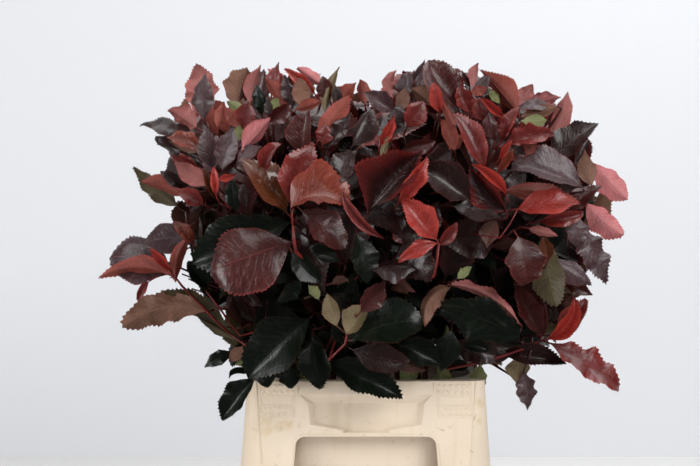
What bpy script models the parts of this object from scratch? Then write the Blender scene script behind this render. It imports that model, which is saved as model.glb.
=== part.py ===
"""Cut photinia standing in a flower bucket, as separate named solids.

The bucket is double-walled: a tub that narrows downwards hangs from its rim inside a skirt that widens downwards,
and each side of the skirt has a window. Stems stand on the floor of the tub and lean out over its mouth. Each stem
carries one mass of foliage, which grows away from a common point just above the rim and keeps to its own cone.

Metres, +Z up. The origin is the middle of the bucket's underside. The side with the camera is -Y.
"""

import math
import random

import bmesh
import bpy
from mathutils import Matrix, Quaternion, Vector
from mathutils.bvhtree import BVHTree

# Bucket
BUCKET_HEIGHT = 0.350
RIM_HALF_X = 0.140
RIM_HALF_Y = 0.190
RIM_WIDTH = 0.012
WALL = 0.003
FLOOR_THICKNESS = 0.004
SKIRT_FLARE = 0.077  # outward run for each metre of drop
TUB_TAPER = 0.070  # inward run for each metre of drop
RIM_CORNER = 0.012
SKIRT_FOOT_CORNER = 0.072
TUB_CORNER = 0.070
CORNER_STEPS = 5

# Windows in the skirt, and the card pockets above them on the two short sides
WINDOW_TO_CORNER = 0.0583
WINDOW_DROP = 0.0647
WINDOW_FOOT = 0.070
WINDOW_CORNER = 0.010
WINDOW_DEPTH = 0.016
POCKET_DEPTH = 0.0080
POCKET_MOUTH = ((0.0757, 0.0167), (0.0669, 0.0267), (0.0650, 0.0502), (0.0267, 0.0570), (0.0267, 0.0600))
POCKET_BACK = ((0.0611, 0.0268), (0.0608, 0.0280), (0.0600, 0.0493), (0.0229, 0.0558), (0.0229, 0.0592))
BLOCK_FACE = ((0.0800, 0.0130), (0.0700, 0.0540), (0.0310, 0.0625))
BLOCK_BACK = ((0.0700, 0.0225), (0.0660, 0.0530), (0.0290, 0.0622))

# Crown, with heights above the rim
CROWN_MIDDLE_X = 0.016
CROWN_HALF_X = 0.315
CROWN_HALF_Y = 0.325
CROWN_TOP = 0.374
CROWN_WAIST = 0.170
CROWN_CLOSES = 0.205  # below the waist
TOP_SQUARENESS = 4.0
FOOT_SQUARENESS = 2.0

# Stems
STEMS = 22
WIDEST_LEAN = math.radians(82)
FAN_HEIGHT = 0.020  # the point that all stems fan out from, above the rim
CORE_REACH = 0.100  # from that point to where a stem ends and its foliage begins
STEM_FOOT_RADIUS = 0.0048
STEM_TOP_RADIUS = 0.0030
STEM_SIDES = 7
STEM_RINGS = 7
SPRIG_TIPS = {"left_sprig": Vector((-0.239, -0.150, 0.138)), "right_sprig": Vector((0.214, -0.200, 0.055))}

# Foliage
SEED = 12
GOLDEN_ANGLE = math.radians(137.5)
OVERHANG = 0.066  # from a shoot's tip to the crown's outline
SIDE_SHOOTS = 4
SIDE_SPREAD = math.radians(12)
SPRIG_SIDE_SHOOTS = 2
LEADER_LEAVES = 11
SIDE_LEAVES = 7
LEAFY_SHARE = 0.86  # of a shoot's length
TWIG_RADIUS = 0.0030
LEAF_LENGTH = 0.140
YOUNG_SHARE = 0.68  # a youngest leaf's length, as a share of an old one's
LEAF_WIDTH = 0.54  # as a share of its length
LEAF_THICKNESS = 0.030
LEAF_FOLD = 0.10
LEAF_ARCH = 0.06
OLD_ANGLE = math.radians(66)
YOUNG_ANGLE = math.radians(18)
DROOP = 0.50
TURN_TO_LIGHT = 0.35  # how much of straight up is added to a shoot's direction before leaves are set on it
TOUCHING_GAP = 0.0003
CLEARANCE = 0.0008

COLOURS = {
    "bucket plastic": (0.80, 0.68, 0.53, 1.0),
    "stem bark": (0.16, 0.03, 0.02, 1.0),
    "red foliage": (0.30, 0.04, 0.03, 1.0),
    "burgundy foliage": (0.11, 0.02, 0.02, 1.0),
    "dark foliage": (0.02, 0.03, 0.02, 1.0),
}


def material(name, roughness):
    """A Principled material in one of the named colours, made once."""
    made = bpy.data.materials.get(name)
    if made is None:
        made = bpy.data.materials.new(name)
        made.use_nodes = True
        shader = made.node_tree.nodes["Principled BSDF"]
        shader.inputs["Base Color"].default_value = COLOURS[name]
        shader.inputs["Roughness"].default_value = roughness
        made.diffuse_color = COLOURS[name]
    return made


def placed(name, shape, finish, collection=None):
    """Turns a bmesh into a named object and frees the bmesh."""
    bmesh.ops.recalc_face_normals(shape, faces=shape.faces)
    mesh = bpy.data.meshes.new(name)
    shape.to_mesh(mesh)
    shape.free()
    mesh.materials.append(finish)
    made = bpy.data.objects.new(name, mesh)
    (collection or bpy.context.scene.collection).objects.link(made)
    return made


def lofted(name, rings, finish, collection=None):
    """A closed solid whose skin runs through rings of equally many points, capped at both ends."""
    shape = bmesh.new()
    loops = [[shape.verts.new(point) for point in ring] for ring in rings]
    count = len(loops[0])
    for near, far in zip(loops, loops[1:]):
        for k in range(count):
            after = (k + 1) % count
            shape.faces.new((near[k], near[after], far[after], far[k]))
    shape.faces.new(loops[0])
    shape.faces.new(loops[-1])
    return placed(name, shape, finish, collection)


def rounded_rectangle(half_x, half_y, corner, steps=CORNER_STEPS):
    """Corner arcs of a rectangle, anticlockwise from its +X +Y corner, as (x, y) pairs."""
    points = []
    for quarter, (sx, sy) in enumerate(((1, 1), (-1, 1), (-1, -1), (1, -1))):
        for step in range(steps + 1):
            angle = math.radians(90 * (quarter + step / steps))
            points.append((sx * (half_x - corner) + corner * math.cos(angle),
                           sy * (half_y - corner) + corner * math.sin(angle)))
    return points


def wall_ring(height, inset, corner, slope):
    """A level ring of the bucket at a height. The wall's half size at the rim is less by inset, and grows by slope."""
    grown = slope * (BUCKET_HEIGHT - height) - inset
    flat = rounded_rectangle(RIM_HALF_X + grown, RIM_HALF_Y + grown, corner)
    return [Vector((x, y, height)) for x, y in flat]


def bucket_body():
    """Tub, rim and skirt in one skin: up the tub's inside, over the rim, and round both faces of the skirt."""
    under_rim = BUCKET_HEIGHT - WALL
    skirt_corner = RIM_CORNER + (SKIRT_FOOT_CORNER - RIM_CORNER) * WALL / BUCKET_HEIGHT
    rings = [
        wall_ring(FLOOR_THICKNESS, RIM_WIDTH, TUB_CORNER - WALL, -TUB_TAPER),
        wall_ring(BUCKET_HEIGHT, RIM_WIDTH, TUB_CORNER - WALL, -TUB_TAPER),
        wall_ring(BUCKET_HEIGHT, 0.0, RIM_CORNER, SKIRT_FLARE),
        wall_ring(0.0, 0.0, SKIRT_FOOT_CORNER, SKIRT_FLARE),
        wall_ring(0.0, WALL, SKIRT_FOOT_CORNER - WALL, SKIRT_FLARE),
        wall_ring(under_rim, WALL, skirt_corner - WALL, SKIRT_FLARE),
        wall_ring(under_rim, RIM_WIDTH - WALL, TUB_CORNER, -TUB_TAPER),
        wall_ring(0.0, RIM_WIDTH - WALL, TUB_CORNER, -TUB_TAPER),
    ]
    return lofted("flower_bucket", rings, material("bucket plastic", 0.5))


def side_turns():
    """(turn about Z, half width, half depth) of the bucket's four sides, the one with the camera first."""
    for k in range(4):
        wide, deep = (RIM_HALF_X, RIM_HALF_Y) if k % 2 == 0 else (RIM_HALF_Y, RIM_HALF_X)
        yield math.radians(90 * k), wide, deep


def skirt_point(across, drop, inward, deep):
    """A point on the side at -Y, by its place across, its drop below the rim and its depth behind the skirt's face."""
    return Vector((across, inward - deep - SKIRT_FLARE * drop, BUCKET_HEIGHT - drop))


def mirrored(half):
    """An outline from its right half, listed from the top down."""
    return list(half) + [(-across, drop) for across, drop in reversed(half)]


def window_cutter(k, turn, wide, deep):
    """The tool that opens the window of one side. It stops short of the tub."""
    drop_top, drop_foot = WINDOW_DROP, BUCKET_HEIGHT - WINDOW_FOOT
    middle = (drop_top + drop_foot) / 2
    outline = rounded_rectangle(wide - WINDOW_TO_CORNER, (drop_foot - drop_top) / 2, WINDOW_CORNER)
    rings = []
    for inward in (-WINDOW_DEPTH, WINDOW_DEPTH / 2):
        ring = []
        for across, down in outline:
            drop = middle + down
            spread = 1 + SKIRT_FLARE * (drop - drop_top) / (wide - WINDOW_TO_CORNER)
            ring.append(Matrix.Rotation(turn, 3, "Z") @ skirt_point(across * spread, drop, inward, deep))
        rings.append(ring)
    return helper(lofted(f"window_tool_{k}", rings, material("bucket plastic", 0.5)))


def pocket_tools(k, turn, deep):
    """The block that thickens the skirt behind a card pocket, and the tool that sinks the pocket into it."""
    finish = material("bucket plastic", 0.5)
    turned = Matrix.Rotation(turn, 3, "Z")
    block = [[turned @ skirt_point(x, d, inward, deep) for x, d in mirrored(outline)]
             for inward, outline in ((WALL / 2, BLOCK_FACE), (POCKET_DEPTH + WALL, BLOCK_BACK))]
    recess = [[turned @ skirt_point(x, d, inward, deep) for x, d in mirrored(outline)]
              for inward, outline in ((-POCKET_DEPTH, outwards(POCKET_MOUTH)), (POCKET_DEPTH, POCKET_BACK))]
    return (helper(lofted(f"pocket_block_{k}", block, finish)),
            helper(lofted(f"pocket_tool_{k}", recess, finish)))


def outwards(mouth):
    """The pocket's outline as far in front of the skirt as its back lies behind."""
    return [(2 * x - back_x, 2 * d - back_d) for (x, d), (back_x, back_d) in zip(mouth, POCKET_BACK)]


def helper(tool):
    """Marks a Boolean's tool, which isn't part of the object."""
    tool.hide_render = True
    tool.display_type = "WIRE"
    return tool


def combine(body, tool, operation):
    """Adds a Boolean that stays on the body."""
    change = body.modifiers.new(tool.name, "BOOLEAN")
    change.operation = operation
    change.object = tool
    change.solver = "EXACT"


def make_bucket():
    body = bucket_body()
    for k, (turn, wide, deep) in enumerate(side_turns()):
        if k % 2 == 0:
            block, recess = pocket_tools(k, turn, deep)
            combine(body, block, "UNION")
            combine(body, recess, "DIFFERENCE")
        combine(body, window_cutter(k, turn, wide, deep), "DIFFERENCE")
    return body


def beyond_crown(point):
    """True if a point, measured from the middle of the rim, is outside the crown's outline."""
    rise = point.z - CROWN_WAIST
    flat = math.hypot((point.x - CROWN_MIDDLE_X) / CROWN_HALF_X, point.y / CROWN_HALF_Y)
    if rise > 0:
        return flat**TOP_SQUARENESS + (rise / (CROWN_TOP - CROWN_WAIST)) ** TOP_SQUARENESS > 1
    return flat**FOOT_SQUARENESS + (-rise / CROWN_CLOSES) ** FOOT_SQUARENESS > 1


def crown_reach(direction):
    """How far the crown's outline is from the fan point, by halving."""
    near, far = 0.0, CROWN_HALF_X + CROWN_HALF_Y
    for _ in range(24):
        middle = (near + far) / 2
        if beyond_crown(FAN_FROM_RIM + direction * middle):
            far = middle
        else:
            near = middle
    return near


def leader_tips():
    """The tip of each stem's leading shoot, measured from the fan point, by name.

    They are spread by the golden angle. The two sprigs that stand out of the crown take the place of their
    nearest neighbours.
    """
    tips = []
    for k in range(STEMS):
        rise = 1 - (k + 0.5) / STEMS * (1 - math.cos(WIDEST_LEAN))
        flat = math.sqrt(1 - rise * rise)
        direction = Vector((flat * math.cos(k * GOLDEN_ANGLE), flat * math.sin(k * GOLDEN_ANGLE), rise))
        tips.append(direction * (crown_reach(direction) - OVERHANG))
    named = {f"{k + 1:02d}": tip for k, tip in enumerate(tips)}
    for sprig, tip in SPRIG_TIPS.items():
        from_fan = tip - FAN_FROM_RIM
        nearest = min(named, key=lambda name: named[name].angle(from_fan))
        del named[nearest]
        named[sprig] = from_fan
    return named


def stem_path(direction):
    """Points of a stem from the tub's floor to the end of its bare part, along one smooth curve."""
    rim = Vector((0, 0, BUCKET_HEIGHT))
    mouth = Vector((direction.x * 0.100, direction.y * 0.135, 0))
    foot = mouth * 0.75 + Vector((0, 0, FLOOR_THICKNESS + TOUCHING_GAP))
    low = mouth * 0.85 + Vector((0, 0, BUCKET_HEIGHT * 0.57))
    end = rim + FAN_FROM_RIM + direction * CORE_REACH
    bend = end - direction * CORE_REACH / 3
    for step in range(STEM_RINGS):
        t = step / (STEM_RINGS - 1)
        s = 1 - t
        yield foot * s**3 + low * 3 * s * s * t + bend * 3 * s * t * t + end * t**3


def make_stem(name, direction):
    """A tapering tube that stands flat on the floor and ends square to its foliage's leading shoot."""
    path = list(stem_path(direction))
    rings = []
    for k, centre in enumerate(path):
        share = k / (len(path) - 1)
        radius = STEM_FOOT_RADIUS + (STEM_TOP_RADIUS - STEM_FOOT_RADIUS) * share
        ahead = path[min(k + 1, len(path) - 1)] - path[max(k - 1, 0)]
        if k == 0:
            ahead = Vector((0, 0, 1))
        if k == len(path) - 1:
            ahead = direction
        rings.append(ring_round(centre, ahead.normalized(), radius, STEM_SIDES))
    return lofted(f"stem_{name}", rings, material("stem bark", 0.6))


def ring_round(centre, axis, radius, sides):
    """Points of a circle about an axis. Its first point turns as little as it can from one ring to the next."""
    across = (Vector((1, 0, 0)) - axis * axis.x).normalized()
    return [centre + Quaternion(axis, math.tau * k / sides) @ across * radius for k in range(sides)]


def shoots_of(name, tip, rng):
    """(foot, tip, leaf count) of the leading shoot and its side shoots, measured from the fan point."""
    direction = tip.normalized()
    root = direction * (CORE_REACH + TOUCHING_GAP)
    yield root, tip, LEADER_LEAVES
    side_count = SPRIG_SIDE_SHOOTS if name in SPRIG_TIPS else SIDE_SHOOTS
    first_turn = rng.uniform(0, math.tau)
    for k in range(side_count):
        turn = first_turn + math.tau * k / side_count
        hinge = Quaternion(direction, turn) @ direction.orthogonal().normalized()
        aim = Quaternion(hinge, SIDE_SPREAD * rng.uniform(0.85, 1.15)) @ direction
        foot = root.lerp(tip, 0.10 + 0.35 * k / side_count)
        if name in SPRIG_TIPS:
            reach = tip.length * 0.85
        else:
            reach = (crown_reach(aim) - OVERHANG) * rng.uniform(0.94, 1.03)
        yield foot, aim * reach, SIDE_LEAVES


def leaves_along(foot, tip, count, rng):
    """(base, direction, upper side, length) of leaves in a spiral round a shoot, the oldest first."""
    axis = ((tip - foot).normalized() + Vector((0, 0, TURN_TO_LIGHT))).normalized()
    side = axis.orthogonal().normalized()
    first_turn = rng.uniform(0, math.tau)
    for k in range(count):
        age = 1 - k / (count - 1)
        out = Quaternion(axis, first_turn + k * GOLDEN_ANGLE) @ side
        opening = YOUNG_ANGLE + (OLD_ANGLE - YOUNG_ANGLE) * age
        direction = axis * math.cos(opening) + out * math.sin(opening)
        direction = (direction - Vector((0, 0, DROOP * age * math.sin(opening)))).normalized()
        upper = axis - direction * axis.dot(direction)
        length = LEAF_LENGTH * (YOUNG_SHARE + (1 - YOUNG_SHARE) * age) * rng.uniform(0.92, 1.08)
        yield foot.lerp(tip, 1 - LEAFY_SHARE * age), direction, upper.normalized(), length


def leaf_corners(base, direction, upper, length):
    """Base, right edge, tip, left edge, and the two faces' middles, of a leaf folded along its rib."""
    across = direction.cross(upper)
    half = length * LEAF_WIDTH / 2
    middle = base + direction * length * 0.5 + upper * length * LEAF_ARCH
    edge_rise = upper * length * LEAF_FOLD
    thickness = upper * length * LEAF_THICKNESS
    root = base - direction * TWIG_RADIUS * 1.5
    return (root, middle + across * half + edge_rise, base + direction * length,
            middle - across * half + edge_rise, middle, middle - thickness)


def clear_of_bucket(point):
    """True if a point, measured from the fan point, is above the rim or outside the skirt."""
    height = point.z + FAN_HEIGHT
    spread = CLEARANCE + SKIRT_FLARE * max(0.0, -height)
    return height > CLEARANCE or abs(point.x) > RIM_HALF_X + spread or abs(point.y) > RIM_HALF_Y + spread


def bucket_skin():
    """The bucket's outside as a closed box with flared sides, a little larger than it, to test leaves against."""
    points = []
    for height, grown in ((CLEARANCE, CLEARANCE), (-BUCKET_HEIGHT, CLEARANCE + SKIRT_FLARE * BUCKET_HEIGHT)):
        for sx, sy in ((1, 1), (-1, 1), (-1, -1), (1, -1)):
            points.append((sx * (RIM_HALF_X + grown), sy * (RIM_HALF_Y + grown), height - FAN_HEIGHT))
    sides = [(k, (k + 1) % 4, (k + 1) % 4 + 4, k + 4) for k in range(4)]
    return BVHTree.FromPolygons(points, [(0, 1, 2, 3), *sides])


def keeps_to_its_space(points, direction, others):
    """True if all points lie in the cone round a stem's direction, beyond the stems and clear of the bucket."""
    borders = [(other - direction).normalized() for other in others]
    return all(
        point.dot(direction) > CORE_REACH + CLEARANCE
        and clear_of_bucket(point)
        and all(point.dot(border) < -CLEARANCE for border in borders)
        for point in points
    )


def fitted_leaf(place, axis, direction, others, taken):
    """The corners and skin of a leaf, closed in and made shorter until it fits its space, or None.

    It may not cross what has grown already, which is given as a list of skins without its own twig's.
    """
    base, outward, upper, length = place
    for closing, share in ((0.0, 1.0), (0.2, 0.95), (0.45, 0.9), (0.7, 0.8), (1.0, 0.7)):
        aim = (outward + axis * closing).normalized()
        face = (upper - aim * upper.dot(aim)).normalized()
        corners = leaf_corners(base, aim, face, length * share)
        if not keeps_to_its_space(corners[1:], direction, others):
            continue
        skin = BVHTree.FromPolygons(corners, LEAF_FACES)
        if not any(skin.overlap(other) for other in taken):
            return corners, skin
    return None


LEAF_FACES = ((0, 1, 4), (1, 2, 4), (2, 3, 4), (3, 0, 4), (1, 0, 5), (2, 1, 5), (3, 2, 5), (0, 3, 5))


def twig_skin(foot, tip):
    """A twig's three long sides, to test leaves against."""
    axis = (tip - foot).normalized()
    points = ring_round(foot, axis, TWIG_RADIUS, 3) + ring_round(tip, axis, TWIG_RADIUS * 0.5, 3)
    return BVHTree.FromPolygons(points, [(k, (k + 1) % 3, (k + 1) % 3 + 3, k + 3) for k in range(3)])


def leaf_solid(name, corners, finish, collection):
    """A leaf of eight faces: two folded faces above and their like below, meeting at the outline."""
    shape = bmesh.new()
    points = [shape.verts.new(corner + FAN_POINT) for corner in corners]
    for face in LEAF_FACES:
        shape.faces.new([points[k] for k in face])
    return placed(name, shape, finish, collection)


def twig_solid(name, foot, tip, finish, collection):
    """A three-sided tapering twig, cut square at its foot."""
    axis = (tip - foot).normalized()
    rings = [ring_round(foot + FAN_POINT, axis, TWIG_RADIUS, 3),
             ring_round(tip + FAN_POINT, axis, TWIG_RADIUS * 0.5, 3)]
    return lofted(name, rings, finish, collection)


def joined(body, collection):
    """Unites a body with a collection's solids, and removes them."""
    union = body.modifiers.new("joined", "BOOLEAN")
    union.operation = "UNION"
    union.operand_type = "COLLECTION"
    union.collection = collection
    union.solver = "EXACT"
    graph = bpy.context.evaluated_depsgraph_get()
    mesh = bpy.data.meshes.new_from_object(body.evaluated_get(graph))
    body.modifiers.clear()
    body.data = mesh
    for used in list(collection.objects):
        bpy.data.objects.remove(used)
    bpy.data.collections.remove(collection)
    keep_largest_piece(mesh)
    return body


def keep_largest_piece(mesh):
    """Drops loose scraps, and the skins of any hollows that crossing leaves have closed off."""
    shape = bmesh.new()
    shape.from_mesh(mesh)
    pieces = []
    unseen = set(shape.verts)
    while unseen:
        piece = {unseen.pop()}
        edge_of_piece = list(piece)
        while edge_of_piece:
            vert = edge_of_piece.pop()
            for edge in vert.link_edges:
                other = edge.other_vert(vert)
                if other not in piece:
                    piece.add(other)
                    edge_of_piece.append(other)
        unseen -= piece
        pieces.append(piece)
    largest = max(pieces, key=len)
    dropped = [vert for piece in pieces if piece is not largest for vert in piece]
    bmesh.ops.delete(shape, geom=dropped, context="VERTS")
    shape.to_mesh(mesh)
    shape.free()


def make_foliage(index, name, tip, others):
    """One mass: a leading shoot with side shoots, and leaves in spirals round them all, in one solid."""
    rng = random.Random(SEED + index)
    direction = tip.normalized()
    finish = material(("red foliage", "burgundy foliage", "dark foliage")[index % 3], 0.4)
    parts = bpy.data.collections.new(f"parts of {name}")
    bpy.context.scene.collection.children.link(parts)
    shoots = list(shoots_of(name, tip, rng))
    skins = [twig_skin(foot, end) for foot, end, _ in shoots]
    leaf_skins = [bucket_skin()]
    body = twig_solid(f"foliage_{name}", *shoots[0][:2], finish, None)
    for s, (foot, end, count) in enumerate(shoots):
        if s > 0:
            twig_solid(f"twig_{s}", foot, end, finish, parts)
        taken = leaf_skins + skins[:s] + skins[s + 1 :]
        for k, place in enumerate(leaves_along(foot, end, count, rng)):
            fitted = fitted_leaf(place, (end - foot).normalized(), direction, others, taken)
            if fitted:
                leaf_solid(f"leaf_{s}_{k}", fitted[0], finish, parts)
                leaf_skins.append(fitted[1])
                taken.append(fitted[1])
    return joined(body, parts)


def clear_scene():
    for thing in list(bpy.data.objects):
        bpy.data.objects.remove(thing)


FAN_FROM_RIM = Vector((0, 0, FAN_HEIGHT))
FAN_POINT = Vector((0, 0, BUCKET_HEIGHT + FAN_HEIGHT))


def main():
    clear_scene()
    make_bucket()
    tips = leader_tips()
    for index, (name, tip) in enumerate(tips.items()):
        others = [other.normalized() for key, other in tips.items() if key != name]
        make_stem(name, tip.normalized())
        make_foliage(index, name, tip, others)


main()
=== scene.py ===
# %% [markdown]
# # Cut photinia in a flower bucket
#
# The object is a dense bunch of cut photinia branches, standing in the kind of double-walled plastic bucket that flower
# auctions send round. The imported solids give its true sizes: the bucket, bare stems, and one mass of big simple leaves
# on each stem. This script keeps those sizes and grows the real surface on them, leaf by leaf.

# %% Load the solids and keep their box
import math
import random

import bmesh
import bpy
import numpy as np
from mathutils import Matrix, Quaternion, Vector


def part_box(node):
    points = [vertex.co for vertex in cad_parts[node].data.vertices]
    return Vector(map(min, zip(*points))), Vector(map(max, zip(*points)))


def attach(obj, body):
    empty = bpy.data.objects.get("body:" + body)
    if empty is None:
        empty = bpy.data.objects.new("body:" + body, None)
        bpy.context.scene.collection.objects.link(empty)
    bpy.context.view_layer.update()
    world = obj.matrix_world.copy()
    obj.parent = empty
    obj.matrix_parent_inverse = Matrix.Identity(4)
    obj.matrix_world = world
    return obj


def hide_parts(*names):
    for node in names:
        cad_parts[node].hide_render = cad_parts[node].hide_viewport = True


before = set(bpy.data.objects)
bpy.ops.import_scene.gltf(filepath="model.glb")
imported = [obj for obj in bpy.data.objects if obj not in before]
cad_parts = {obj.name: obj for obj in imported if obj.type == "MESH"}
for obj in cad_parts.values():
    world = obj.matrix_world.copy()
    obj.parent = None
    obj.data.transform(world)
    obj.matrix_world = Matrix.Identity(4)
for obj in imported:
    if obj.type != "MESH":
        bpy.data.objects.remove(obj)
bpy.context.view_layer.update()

# %% [markdown]
# The bucket is the only piece that can be measured straight from its solid: its height and its foot. The rim, the
# flare and the walls are then worked out from them in the same way as for the solids, so that everything that is made
# here lands on them.

# %% Sizes of the bucket
bucket_low, bucket_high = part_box("flower_bucket")
BUCKET_HEIGHT = bucket_high.z
SKIRT_FLARE = 0.077  # outward run for each metre of drop
RIM_HALF_X = bucket_high.x - SKIRT_FLARE * BUCKET_HEIGHT
RIM_HALF_Y = bucket_high.y - SKIRT_FLARE * BUCKET_HEIGHT
RIM_WIDTH = 0.012
WALL = 0.003
FLOOR_THICKNESS = 0.004
TUB_TAPER = 0.070  # inward run for each metre of drop
RIM_CORNER = 0.012
SKIRT_FOOT_CORNER = 0.072
TUB_CORNER = 0.070
print(f"rim {2 * RIM_HALF_X:.3f} by {2 * RIM_HALF_Y:.3f}, height {BUCKET_HEIGHT:.3f}")

# %% [markdown]
# A photograph is easiest to match when its camera is settled first. The rim's corners in the picture give the distance
# and the lens, and the height of the rim and the window in the picture gives the tilt. After that a pixel stands for a
# line of sight, and a depth along it picks a point.

# %% The camera of the photograph
PICTURE_WIDTH, PICTURE_HEIGHT = 700, 466
FOCAL_PIXELS = 1508.0
CAMERA_PLACE = Vector((-0.0186, -1.95, BUCKET_HEIGHT + 0.23))
CAMERA_TILT = math.radians(1.84)  # below the horizon

camera = bpy.data.objects.new("camera", bpy.data.cameras.new("camera"))
bpy.context.scene.collection.objects.link(camera)
camera.data.sensor_width = 36.0
camera.data.lens = FOCAL_PIXELS * camera.data.sensor_width / PICTURE_WIDTH
camera.location = CAMERA_PLACE
camera.rotation_euler = (math.pi / 2 - CAMERA_TILT, 0, 0)
bpy.context.scene.camera = camera
CAMERA_TURN = Matrix.Rotation(-CAMERA_TILT, 3, "X")


def seen_at(across, down, depth):
    """The point that the photograph shows at a pixel, at a depth given as its Y."""
    ray = CAMERA_TURN @ Vector(((across - PICTURE_WIDTH / 2) / FOCAL_PIXELS, 1,
                                (PICTURE_HEIGHT / 2 - down) / FOCAL_PIXELS))
    return CAMERA_PLACE + ray * ((depth - CAMERA_PLACE.y) / ray.y)


def pixels_of(points):
    """Where points, an array of rows, land in the picture, and how far ahead of the camera they are."""
    rays = (np.asarray(points) - np.array(CAMERA_PLACE)) @ np.array(CAMERA_TURN)
    ahead = rays[..., 1]
    scale = FOCAL_PIXELS / ahead
    return np.stack([PICTURE_WIDTH / 2 + rays[..., 0] * scale, PICTURE_HEIGHT / 2 - rays[..., 2] * scale], -1), ahead


print("lens", round(camera.data.lens, 1), "mm; front rim corner at",
      pixels_of([(RIM_HALF_X, -RIM_HALF_Y, BUCKET_HEIGHT)])[0].round(0).tolist())

# %% [markdown]
# Shader networks read best as sums. A `Wire` is one output of a node, and ordinary arithmetic on it adds Math nodes.
# A `Finish` is one material: its `node` method adds any other node, with its settings set before its sockets.


# %% Arithmetic on shader sockets
class Wire:
    """An output of a shader node. Arithmetic on it adds Math nodes to its finish."""

    def __init__(self, finish, socket):
        self.finish = finish
        self.socket = socket

    def maths(self, operation, *others, swapped=False):
        values = [self, *others]
        if swapped:
            values.reverse()
        return self.finish.node("ShaderNodeMath", {"operation": operation}, dict(enumerate(values)))

    def __add__(self, other):
        return self.maths("ADD", other)

    __radd__ = __add__

    def __sub__(self, other):
        return self.maths("SUBTRACT", other)

    def __rsub__(self, other):
        return self.maths("SUBTRACT", other, swapped=True)

    def __mul__(self, other):
        return self.maths("MULTIPLY", other)

    __rmul__ = __mul__

    def __abs__(self):
        return self.maths("ABSOLUTE")

    def fraction(self):
        return self.maths("FRACT")

    def larger(self, other):
        return self.maths("MAXIMUM", other)

    def step(self, low, high):
        """0 below low, 1 above high, and a smooth ramp between."""
        return self.finish.node("ShaderNodeMapRange", {"interpolation_type": "SMOOTHSTEP"},
                                {"Value": self, "From Min": low, "From Max": high})


# %% One material, and the nodes in it
class Finish:
    """A material with a Principled shader, built by adding nodes."""

    def __init__(self, name, **sockets):
        self.material = bpy.data.materials.new(name)
        self.material.use_nodes = True
        self.tree = self.material.node_tree
        self.shader = self.tree.nodes["Principled BSDF"]
        for socket, value in sockets.items():
            self.feed(socket.replace("_", " "), value)

    def feed(self, socket, value):
        """Sets or links a socket of the Principled shader."""
        self.put(self.shader.inputs[socket], value)

    def put(self, socket, value):
        if isinstance(value, Wire):
            self.tree.links.new(value.socket, socket)
        elif hasattr(value, "__len__") and len(value) == 3 and socket.type == "RGBA":
            socket.default_value = (*value, 1.0)
        else:
            socket.default_value = value

    def node(self, kind, settings=None, values=None, output=0):
        """Adds a node, sets it, fills its sockets by name or number, and gives one output."""
        made = self.tree.nodes.new(kind)
        for name, value in (settings or {}).items():
            setattr(made, name, value)
        for name, value in (values or {}).items():
            self.put(made.inputs[name], value)
        return Wire(self, made.outputs[output])

    def mix(self, share, first, second):
        """The first colour, blended towards the second by a share from 0 to 1."""
        return self.node("ShaderNodeMix", {"data_type": "RGBA"}, {0: share, 6: first, 7: second}, output=2)

    def place(self):
        """Where a point of the surface is, in metres."""
        return self.node("ShaderNodeTexCoord", output="Object")

    def noise(self, size, detail=3.0, place=None):
        """A soft random pattern whose patches are about this many metres across."""
        return self.node("ShaderNodeTexNoise", None,
                         {"Vector": place or self.place(), "Scale": 1 / size, "Detail": detail})

    def stretched(self, x, y, z):
        """The place on the surface with its axes scaled, for streaks and for grain that runs one way."""
        return self.node("ShaderNodeVectorMath", {"operation": "MULTIPLY"}, {0: self.place(), 1: (x, y, z)})

    def near(self, point, radius):
        """1 at a point, fading to 0 at a radius."""
        distance = self.node("ShaderNodeVectorMath", {"operation": "DISTANCE"},
                             {0: self.place(), 1: tuple(point)}, output="Value")
        return 1 - distance.step(radius * 0.3, radius)

    def bump(self, height, distance, strength=1.0):
        """Feeds a height, in shares of a distance in metres, to the shader's normal."""
        self.feed("Normal", self.node("ShaderNodeBump", None,
                                      {"Height": height, "Distance": distance, "Strength": strength}))


def linear(red, green, blue):
    """A colour given as a picture's 0 to 255, as a shader wants it."""
    shares = (value / 255 for value in (red, green, blue))
    return tuple(s / 12.92 if s <= 0.04045 else ((s + 0.055) / 1.055) ** 2.4 for s in shares)


print("shader maths ready")

# %% [markdown]
# A place on the bucket's outer wall is easiest to name as a builder would: which side, how far across, how far below
# the rim, and how deep in the wall. The photograph shows the front side, so its pixels convert to such places too.

# %% Places on the skirt
SIDES = [(math.radians(90 * k), *((RIM_HALF_X, RIM_HALF_Y) if k % 2 == 0 else (RIM_HALF_Y, RIM_HALF_X)))
         for k in range(4)]
FRONT_MIDDLE = 365.9  # the front side's middle in the picture, in pixels
FRONT_RIM = 380.5
FRONT_SCALE = 857.0  # pixels to a metre at the front side


def on_skirt(side, across, drop, inward=0.0):
    """A point on one side of the skirt, by its place across, its drop below the rim and its depth in the wall."""
    turn, _, deep = SIDES[side]
    return Matrix.Rotation(turn, 3, "Z") @ Vector((across, inward - deep - SKIRT_FLARE * drop, BUCKET_HEIGHT - drop))


def on_front(across, down):
    """The point of the front side at a pixel of the photograph."""
    return on_skirt(0, (across - FRONT_MIDDLE) / FRONT_SCALE, (down - FRONT_RIM) / FRONT_SCALE)


print("left end of the front rim:", [round(v, 3) for v in on_front(245, 381)])

# %% [markdown]
# The bucket's plastic is a warm cream with a soft satin shine. Buckets like this go round for years, so the cream is
# uneven: greyer where hands and trolleys rub it, browner where dirty water has run down. Broad noise gives the patches,
# noise stretched along the height gives the runs, fine noise the specks, and a few stains and scratches are put where
# the photograph shows them.


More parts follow.
